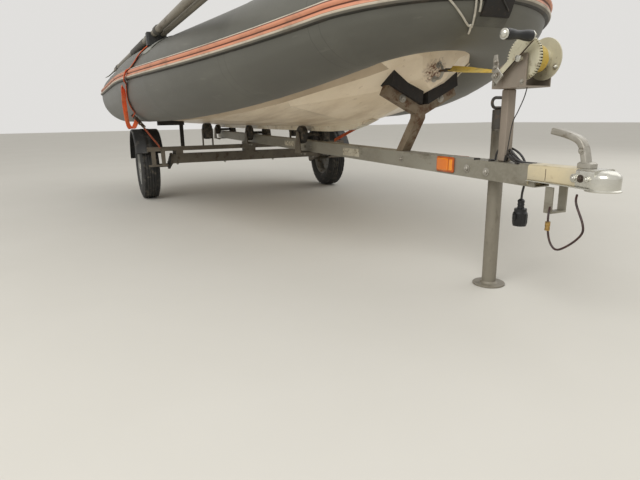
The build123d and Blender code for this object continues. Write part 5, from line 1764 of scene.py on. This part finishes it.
@dataclass
class Winch:
    """The geared bow winch: pawl, washers, the pinion's square nut, the grip and the yellow webbing.

    Args:
        gear: Middle of the large gear.
        pinion: Middle of the pinion.
        plate: Outer face of the starboard side plate.
        crank: Length of the crank.
        crank_angle: Its angle up from ahead, in radians.
        crank_off: Distance of its strip off the plate.
        grip: Length of the grip.
        grip_off: Distance of the grip off the plate.
        teeth: Teeth of the pinion.
        wound: Radius of the wound webbing.
        core: Inner radius of the wound webbing.
        layers: Layers of it.
        web_width: Width of the webbing.
        web_y: Middle of the strand at the drum.
        web_start: The strand's place at the ring.
    """

    gear: tuple[float, float] = (2.953, 0.735)
    pinion: tuple[float, float] = (2.884, 0.693)
    plate: float = -0.058
    crank: float = 0.150
    crank_angle: float = math.radians(38.0)
    crank_off: float = 0.0145
    grip: float = 0.100
    grip_off: float = 0.020
    teeth: int = 16
    wound: float = 0.038
    core: float = 0.0275
    layers: int = 5
    web_width: float = 0.046
    web_y: float = -0.017
    web_start: tuple[float, float, float] = (2.5795, 0.0, 0.738)

    def __post_init__(self) -> None:
        """Works out the way along the crank."""
        self.way = np.array([math.cos(self.crank_angle), 0.0, math.sin(self.crank_angle)])

    def at_pinion(self, y: float) -> Array:
        """A point on the pinion's axis."""
        return place(self.pinion[0], y, self.pinion[1])

    def at_gear(self, y: float) -> Array:
        """A point on the large gear's axis."""
        return place(self.gear[0], y, self.gear[1])

    def build(self) -> None:
        """Dresses the winch's nodes, then makes the grip, the small steel and the webbing."""
        dress_nodes({"winch_frame": Coat.POST, "winch_drum": Coat.CREAM_STEEL})
        self.arm()
        self.post()
        self.handle()
        self.small_steel()
        self.webbing()

    def arm(self) -> None:
        """Carries the crank's flat strip to the grip, and adds the pinion, its shaft and the grip's rod."""
        pin = self.at_pinion(self.plate - self.crank_off)
        end = pin + self.crank * self.way
        path = np.linspace(pin - 0.009 * self.way, end + 0.009 * self.way, 14)
        width = np.array([0.6] + [1.0] * 11 + [0.85, 0.5])
        arm = Shape()
        arm.sweep(path, rounded(0.018, 0.005, 0.001, 2), STARBOARD, scale=width)
        # a thin dark strip along the arm's lower edge: a painted shadow line
        arm.sweep(path[1:-1] + 0.0088 * np.cross(PORT, self.way), rounded(0.0016, 0.0054, 0.0004, 1),
                  STARBOARD, tone=1)
        arm.revolve([(0.0075, 0.0), (0.0075, self.crank_off)], pin, PORT, 20, tone=2)
        angle = turns(4 * self.teeth)
        outline = np.where(np.arange(4 * self.teeth) % 4 < 2, 0.0195, 0.0155)
        ring = np.stack([outline * np.cos(angle), 0 * angle, outline * np.sin(angle)], -1)
        arm.grid(np.stack([self.at_pinion(y) + ring for y in (-0.051, -0.044)]), tone=2)
        arm.revolve([(0.0062, -0.050), (0.0062, 0.008)], self.at_pinion(-0.0012), PORT, 20, tone=2)
        arm.revolve([(0.009, -0.001), (0.009, 0.008), (0.006, 0.009), (0.0055, 0.012)],
                    end - 0.002 * PORT, STARBOARD, 20, tone=2)
        arm.build("crank_strip", [Coat.CREAM_STEEL, Coat.DARK_STEEL, Coat.PLATED], "crank", ["winch_crank"])

    def post(self) -> None:
        """Makes the winch post as a box tube with rounded corners."""
        post = Shape()
        post.block(place(2.8410, -0.0120, 0.4400), place(2.8700, 0.0200, 0.6580), 0.0035)
        post.build("winch_post_tube", [Coat.POST], replaces=["winch_post"])

    def handle(self) -> None:
        """Turns the black grip, which is waisted by a squared sine, and its bright end rings."""
        end = self.at_pinion(self.plate - self.grip_off) + self.crank * self.way
        t = np.linspace(0.0, 1.0, 25)
        waist = 0.0145 - 0.0032 * np.sin(math.pi * np.clip((t - 0.12) / 0.76, 0, 1)) ** 2
        body = np.stack([waist, 0.006 + t * (self.grip - 0.012)], -1)
        grip = Shape()
        grip.revolve([(0.0062, 0.006), *body, (0.0062, self.grip - 0.006)], end, STARBOARD, 36)
        for at in (0.0, self.grip - 0.006):
            grip.revolve([(0.0062, at), (0.0128, at), (0.0140, at + 0.002), (0.0138, at + 0.006),
                          (0.0062, at + 0.006)], end, STARBOARD, 36, tone=1)
        grip.revolve([(0.0105, self.grip), (0.0100, self.grip + 0.003), (0.0070, self.grip + 0.006),
                      (0.002, self.grip + 0.007)], end, STARBOARD, 28, tone=1)
        grip.build("waisted_grip", [Coat.GRIP, Coat.BRIGHT], "crank", ["crank_grip"])

    def small_steel(self) -> None:
        """Adds the pawl, the plates' bolts, and what turns with the drum and with the crank, with a dark disc
        of painted shade behind the gear's teeth.
        """
        steel = Shape()
        pawl = places([(x, self.plate - 0.0025, z)
                       for x, z in ((2.858, 0.704), (2.861, 0.722), (2.858, 0.740), (2.858, 0.754))])
        steel.sweep(smooth_line(pawl, 16), rounded(0.026, 0.005, 0.0015), STARBOARD,
                    scale=np.linspace(1.0, 0.55, 16))
        for up in (0.734, 0.718):
            steel.bolt(place(2.860, self.plate - 0.0045, up), STARBOARD, 0.0055)
        for ahead in (2.960, 2.856):
            steel.bolt(place(ahead, self.plate + 0.0005, 0.672), STARBOARD, 0.005)
        steel.build("winch_small_steel", [Coat.PLATED])
        turning = Shape()
        turning.revolve([(0.0105, 0.0), (0.0105, 0.005), (0.008, 0.0065), (0.002, 0.007)],
                        self.at_gear(self.plate - 0.0105), STARBOARD, 24)
        turning.bolt(self.at_gear(0.0292) + 0.041 * AHEAD - 0.024 * UP, STARBOARD, 0.0055)
        # a dark disc behind the gear's teeth, not a real part: painted shade in the gaps between them
        turning.revolve([(0.030, 0.0), (0.0590, 0.0), (0.0590, 0.0012), (0.030, 0.0012)],
                        self.at_gear(-0.0436), PORT, 64, closed=True, tone=1)
        turning.build("gear_nuts", [Coat.BRIGHT, Coat.PLASTIC], "drum")
        nut = Shape()
        nut.revolve([(0.0235, 0.0), (0.0240, 0.001), (0.0240, 0.003), (0.0225, 0.004)],
                    self.at_pinion(self.plate - 0.017), STARBOARD, 4)
        nut.bolt(self.at_pinion(self.plate - 0.021), STARBOARD, 0.0085)
        nut.build("pinion_nut", [Coat.PLATED], "crank")

    def webbing(self) -> None:
        """Makes the pulled strand, twisted and narrowed to its sewn eye, and the layers on the drum."""
        half = self.web_width / 2
        start, end = place(*self.web_start), self.at_gear(self.web_y) - [0.003, 0.0, self.wound + 0.0016]
        t = np.linspace(0.0, 1.0, 40)[:, None]
        path = start + (end - start) * t - 0.002 * np.sin(math.pi * t) * UP
        width = 0.55 + 0.45 * np.clip(t / 0.25, 0, 1) ** 0.7
        lean = np.radians(32.0) * (1 - t) ** 1.7
        across = np.concatenate([0 * t, np.cos(lean), np.sin(lean)], 1)
        share = np.linspace(-1, 1, 9)
        rows = path[:, None] + (half * share)[:, None] * (width * across)[:, None]
        rows[:, :, 2] += 0.004 * share ** 2 * (1.4 - t)
        thick = 0.0011 * UP
        strand = Shape()
        strand.sheet(rows + thick, rows - thick)
        strand.build("webbing_strand", [Coat.YELLOW], replaces=["winch_webbing"])
        middle, size = node_box("wound_webbing")
        wide = size[1] / 2 - 0.002
        t = np.linspace(0.0, 1.0, 46 * self.layers)
        r = self.core + (self.wound - self.core - 0.0012) * t
        angle = TURN * self.layers * t
        out = np.stack([np.cos(angle), 0 * t, np.sin(angle)], -1)
        layers = Shape()
        layers.sweep(middle + r[:, None] * out, rounded(2 * wide, 0.0021, 0.0006, 2), out)
        layers.revolve([(0.0262, -wide), (self.core, -wide), (self.core, wide), (0.0262, wide)], middle, PORT,
                       closed=True)
        layers.build("wound_layers", [Coat.YELLOW], "drum", ["wound_webbing"])


@dataclass
class Coupling:
    """The coupling head: pressed side plates with a bottom flange, a domed head and the lever.

    Args:
        back: Its rear edge, ahead of the axle.
        head: Middle of the ball socket, ahead of the axle.
        head_r: Radius of the head.
        low: Height of its underside.
        high: Height of its top.
    """

    back: float = 2.950
    head: float = 3.200
    head_r: float = 0.040
    low: float = 0.3960
    high: float = 0.4430

    def build(self) -> None:
        """Carries a rounded box section forward, then turns the head with its dome, lip and socket."""
        body = Shape()
        ahead = np.array([self.back, 2.986, 2.988, 3.100, 3.145, 3.180, self.head])[:, None]
        half = np.array([0.0345, 0.0345, 0.036, 0.036, 0.037, 0.039, 0.0395])[:, None]
        low = self.low + np.array([-0.017, -0.017, 0.0, -0.001, -0.002, -0.003, -0.004])[:, None]
        section = rounded(1.0, 1.0, 0.14, 5)
        points = np.stack(np.broadcast_arrays(AXLE_X + ahead, 2 * half * section[:, 0],
                                              (self.high + low) / 2 + (self.high - low) * section[:, 1]), -1)
        body.grid(points, tone=np.array([3, 0, 0, 0, 1, 1])[:, None])
        flange = np.concatenate([AXLE_X + ahead, half + 0.002, low + 0.001], 1)[2:]
        for side in (1, -1):
            body.sweep(flange * [1, side, 1], rounded(0.007, 0.003, 0.001, 2), UP, tone=1)
        r, under, top = self.head_r, self.low - 0.006, self.high - 0.001
        turn = np.linspace(0.0, math.pi / 2, 12)
        dome = [(r * math.cos(t) ** 0.8, top - 0.020 + 0.020 * math.sin(t)) for t in turn[:-1]]
        socket = [(0.0255 * math.cos(t), 0.392 + 0.0255 * math.sin(t)) for t in np.linspace(1.45, -0.1, 10)]
        lip = [(0.034, under - 0.002), (r + 0.003, under - 0.002), (r + 0.0035, under + 0.001),
               (r, under + 0.004)]
        body.revolve(socket + lip + dome + [(0.001, top)], place(self.head, 0.0, 0.0), UP, 56, tone=1)
        for side in (1, -1):
            for at, size, tone in ((3.142, 0.0080, 1), (3.161, 0.0070, 4), (3.181, 0.0075, 1)):
                body.bolt(place(at, side * 0.0375, 0.419), side * PORT, size, tone=tone)
        for side in (1, -1):
            body.block(place(3.049, side * 0.0358, self.low + 0.006),
                       place(3.051, side * 0.0364, self.high - 0.008), 0.0003, tone=4)
        coats = [Coat.COUPLING, Coat.BRIGHT, Coat.PLATED, Coat.GALVANISED, Coat.DARK_STEEL]
        body.build("coupling_shell", coats, replaces=["coupling"])
        lever = Shape()
        bends = ((3.148, 0.0, -0.002), (3.142, 0.0, 0.026), (3.132, 0.0, 0.056), (3.115, 0.0, 0.073),
                 (3.080, 0.0, 0.085), (3.036, 0.0, 0.094))
        lever.sweep(smooth_line(places(bends) + self.high * UP, 44), rounded(0.026, 0.018, 0.005),
                    (0.2, 0.0, 1.0))
        lever.bolt(place(3.136, -0.013, self.high + 0.045), STARBOARD, 0.006)
        lever.block(place(3.128, -0.016, self.high - 0.003), place(3.168, 0.016, self.high + 0.016), 0.004)
        lever.build("coupling_lever_arm", [Coat.PLATED], replaces=["coupling_lever"])


@dataclass
class Reflectors:
    """Amber side reflectors: a long and a short lens in an orange rim.

    Args:
        chassis: The chassis whose drawbar carries them.
        ahead: Their place ahead of the axle.
        length: Length of the rim.
        height: Height of the rim.
        thick: How far the lenses stand out.
        rim: Width of the rim round the lenses.
    """

    chassis: Chassis
    ahead: float = 2.618
    length: float = 0.092
    height: float = 0.054
    thick: float = 0.012
    rim: float = 0.006

    def build(self) -> None:
        """Makes a rim and two lenses on each side as rounded blocks."""
        lens = Shape()
        back, front, half = -self.length / 2, self.length / 2, self.height / 2
        # start, end, drawn in above and below, how much less it stands out, material
        blocks = ((back, front, 0.0, 0.003, 1), (back + self.rim, 0.020, self.rim, 0.0, 0),
                  (0.024, front - 0.004, self.rim, 0.001, 0))
        z = self.chassis.bar(self.ahead) + 0.003
        for side in (1, -1):
            for start, end, inset, less, tone in blocks:
                lens.block(place(self.ahead + start, side * 0.0298, z - half + inset),
                           place(self.ahead + end, side * (0.030 + self.thick - less), z + half - inset),
                           0.004 if tone else 0.003, tone)
        lens.build("reflector_lenses", [Coat.AMBER, Coat.LENS_RIM], replaces=["side_reflectors"])


@dataclass
class Rowing:
    """The rowlock pads and blocks, and the two oars that lie in the starboard one.

    Args:
        tube: The tube that carries them.
        ahead: Middle of the rowlocks.
        pad: Length of a pad.
        skin: Thickness of a pad.
    """

    tube: Tube
    ahead: float = 1.180
    pad: float = 0.170
    skin: float = 0.005

    def build(self) -> None:
        """Makes the pads as raised areas of the tube's skin, and dresses the blocks."""
        pads = Shape()
        along, angle = np.meshgrid(np.linspace(-1, 1, 16), np.linspace(-1, 1, 14), indexing="ij")
        # corners drawn in so that the pad ends in a rounded outline
        squash = np.sqrt(1 - 0.45 * along ** 2 * angle ** 2)
        ahead = self.ahead + along * squash * self.pad / 2
        up = math.radians(62.0) + angle * squash * math.radians(27.0)
        for side in (1, -1):
            pads.sheet(*(self.tube.skin(ahead, up, lift, side) for lift in (self.skin, -0.001)))
        pads.build("rowlock_patches", [Coat.PATCH], replaces=["rowlock_pads"])
        dress_nodes({"rowlock_blocks": Coat.PLASTIC})
        self.oars()

    def oars(self) -> None:
        """Turns each shaft with its collar, dark grip and rings, and lofts the spooned blade."""
        shafts = Shape()
        outer = (place(-0.380, -0.893, 0.980), place(2.110, -0.744, 1.040), 0.017)
        inner = (place(1.150, -0.757, 1.017), place(2.110, -0.700, 1.040), 0.015)
        for start, end, r in (outer, inner):
            length = float(np.linalg.norm(end - start))
            shafts.revolve([(r - 0.002, 0.0), (r, 0.002), (r, length - 0.002), (r - 0.002, length)],
                           start, end - start, 28)
        start, end, r = outer
        way = unit(end - start)
        # distance from the shaft's aft end, length, how much thicker, material
        for at, length, more, tone in ((0.12, 0.05, 0.003, 1), (0.90, 0.42, 0.004, 1),
                                       (1.40, 0.012, 0.0045, 2), (1.66, 0.05, 0.005, 1)):
            shafts.revolve([(r, 0.0), (r + more, 0.002), (r + more, length - 0.002), (r, length)],
                           start + way * at, way, 28, tone=tone)
        across = np.array([0.0, 0.77, 0.64])
        across = unit(across - way * (across @ way))
        normal = np.cross(way, across)
        t = np.linspace(0.0, 1.0, 28)[:, None]
        behind = -0.060 + 0.480 * t
        wide = np.interp(behind, [-0.06, 0.0, 0.06, 0.36, 0.42], [0.012, 0.034, 0.062, 0.057, 0.050])
        thick = np.interp(behind, [-0.06, 0.0, 0.06, 0.42], [0.011, 0.008, 0.0045, 0.003])
        turn, spoon = turns(24), 0.010 * t ** 2
        lift = thick * np.sin(turn) + spoon * np.cos(turn) ** 2
        shafts.grid(start - way * behind[..., None] + (wide * np.cos(turn))[..., None] * across
                    + lift[..., None] * normal)
        shafts.build("oar_shafts", [Coat.OAR, Coat.OAR_GRIP, Coat.PATCH], replaces=["oars"])


@dataclass
class TieDowns:
    """The orange tie-down straps with their ratchets, one each side, and the loose tail on the starboard one.

    Args:
        tube: The tube that they cross.
        width: Width of the strap.
        thick: Its thickness.
        top: Upper end of a ratchet.
        foot: Its lower end.
        over: Places of the strap over the tube: ahead of the axle, angle up from outboard in degrees, and
            distance off the skin.
        tail: Places along the loose tail.
        tail_leans: Lean of the tail's width at equal steps along it, in degrees.
    """

    tube: Tube
    width: float = 0.026
    thick: float = 0.003
    top: tuple[float, float, float] = (0.700, 0.893, 0.612)
    foot: tuple[float, float, float] = (0.600, 0.836, 0.549)
    over: tuple = ((1.155, 54.0, 0.009), (1.125, 46.0, 0.009), (1.092, 37.0, 0.008), (1.045, 26.0, 0.004),
                   (1.000, 19.0, 0.006), (0.976, 14.0, 0.020), (0.950, 4.0, 0.022), (0.925, -1.5, 0.008),
                   (0.905, -6.0, 0.004), (0.850, -20.0, 0.004), (0.790, -34.0, 0.004), (0.735, -46.0, 0.005))
    tail: tuple = ((0.905, -0.9595, 0.775), (0.880, -0.952, 0.740), (0.800, -0.947, 0.675),
                   (0.760, -0.935, 0.560), (0.725, -0.905, 0.540), (0.672, -0.872, 0.590))
    tail_leans: tuple = (20.0, 60.0, 80.0, 60.0, 100.0, 60.0)

    def ribbon(self, shape: Shape, points: Array, count: int, leans: Point = (16.0,)) -> None:
        """Adds a flat strap through points, its width along the boat.

        Args:
            shape: The shape to add to.
            points: The points that it goes through.
            count: Points along it.
            leans: How far its forward edge is turned outboard, in degrees, at equal steps along it.
        """
        path = smooth_line(points, count)
        tangent = unit(np.gradient(path, axis=0))
        turn = np.radians(np.interp(np.linspace(0, 1, count), np.linspace(0, 1, len(leans)), leans))[:, None]
        out = PORT if path[0, 1] > 0 else STARBOARD
        across = np.cos(turn) * AHEAD + np.sin(turn) * out
        across = unit(across - tangent * (across * tangent).sum(1)[:, None])
        shape.sweep(path, rounded(self.thick, self.width, 0.0008, 2), across)

    def build(self) -> None:
        """Makes the straps, then the ratchets."""
        ahead, angle, lift = np.array(self.over).T
        top, foot = place(*self.top), place(*self.foot)
        straps = Shape()
        self.ribbon(straps, np.concatenate([self.tube.skin(ahead, np.radians(angle), lift), [top]]), 120)
        self.ribbon(straps, np.array([foot, place(0.440, 0.770, 0.474), place(0.280, 0.702, 0.3985)]), 30)
        straps.mirrored()
        self.ribbon(straps, places(self.tail), 60, self.tail_leans)
        straps.build("strap_ribbons", [Coat.ORANGE], replaces=["tie_down_straps"])
        self.ratchets(top, foot)

    def ratchets(self, top: Array, foot: Array) -> None:
        """Makes each ratchet with its frame, spool, pins and handle.

        Args:
            top: The port one's upper end.
            foot: Its lower end.
        """
        ratchet = Shape()
        way = unit(foot - top)
        length = float(np.linalg.norm(foot - top))
        wide = unit(AHEAD - way * way[0])
        deep = np.cross(way, wide)
        for side in (-1, 1):
            edge = top + wide * side * 0.019
            ratchet.sweep(np.array([edge + way * 0.004, edge + way * (length - 0.004)]),
                          rounded(0.003, 0.020, 0.001, 2), deep)
        for at, r, tone in ((0.030, 0.009, 0), (0.070, 0.006, 1), (0.118, 0.005, 1)):
            ratchet.revolve([(r, -0.0215), (r, 0.0215)], top + way * at, wide, 18, tone=tone)
        ratchet.sweep(np.array([top + way * 0.020 + deep * 0.008, top + way * 0.120 + deep * 0.006]),
                      rounded(0.034, 0.003, 0.001, 2), deep)
        ratchet.revolve([(0.006, -0.022), (0.0075, -0.020), (0.0075, 0.020), (0.006, 0.022)],
                        top + way * (length - 0.008) + deep * 0.004, wide, 18, tone=1)
        ratchet.mirrored()
        ratchet.build("ratchet_frames", [Coat.DARK_STEEL, Coat.BRIGHT], replaces=["strap_ratchets"])


def studio() -> None:
    """Makes the pale floor, the plain world and two soft lamps."""
    mesh = bpy.data.meshes.new("studio_floor")
    corners = [(x * FLOOR_REACH, y * FLOOR_REACH, -FLOOR_DROP) for x, y in ((-1, -1), (1, -1), (1, 1), (-1, 1))]
    mesh.from_pydata(corners, [], [(0, 1, 2, 3)])
    plane = show("studio_floor", mesh)
    paint = Paint("studio_floor")
    soft = paint.noise(1.2, 4.0)
    mesh.materials.append(paint.close(paint.blend(0xc4c1b8, 0xccc9c1, soft), 0.9))
    world = bpy.data.worlds.new("studio_world")
    bpy.context.scene.world = world
    world.use_nodes = True
    sky = world.node_tree.nodes["Background"].inputs
    sky["Color"].default_value = (1.0, 0.985, 0.96, 1.0)
    sky["Strength"].default_value = 0.75
    # name, place, power in watts, size, and what it looks at
    for name, at, power, size, look in (("key_lamp", (3.5, -3.5, 4.2), 190.0, 4.0, (0.3, 0.0, 0.6)),
                                        ("fill_lamp", (1.0, 4.5, 4.0), 90.0, 5.0, (0.0, 0.0, 0.5))):
        data = bpy.data.lights.new(name, "AREA")
        data.energy = power
        data.size = size
        back = unit(np.array(at) - np.array(look))
        right = unit(np.cross(UP, back))
        show(name, data).matrix_world = facing(right, np.cross(back, right), back, at)
    bpy.context.scene.view_settings.view_transform = "Standard"


def main() -> None:
    """Builds the whole boat and trailer round the frame."""
    logging.basicConfig(level=logging.INFO, format="%(message)s")
    Viewpoint().build()
    Cords().build()
    tube, wheels, chassis = Tube(), Wheels(), Chassis()
    for assembly in (tube, Strake(tube), Hull(tube), BowGear(tube), wheels, Mudguards(wheels), Rollers(),
                     chassis, PropStand(), Winch(), Coupling(), Reflectors(chassis), Rowing(tube),
                     TieDowns(tube)):
        log.info("building %s", type(assembly).__name__)
        assembly.build()
    studio()


if __name__ == "__main__":
    main()
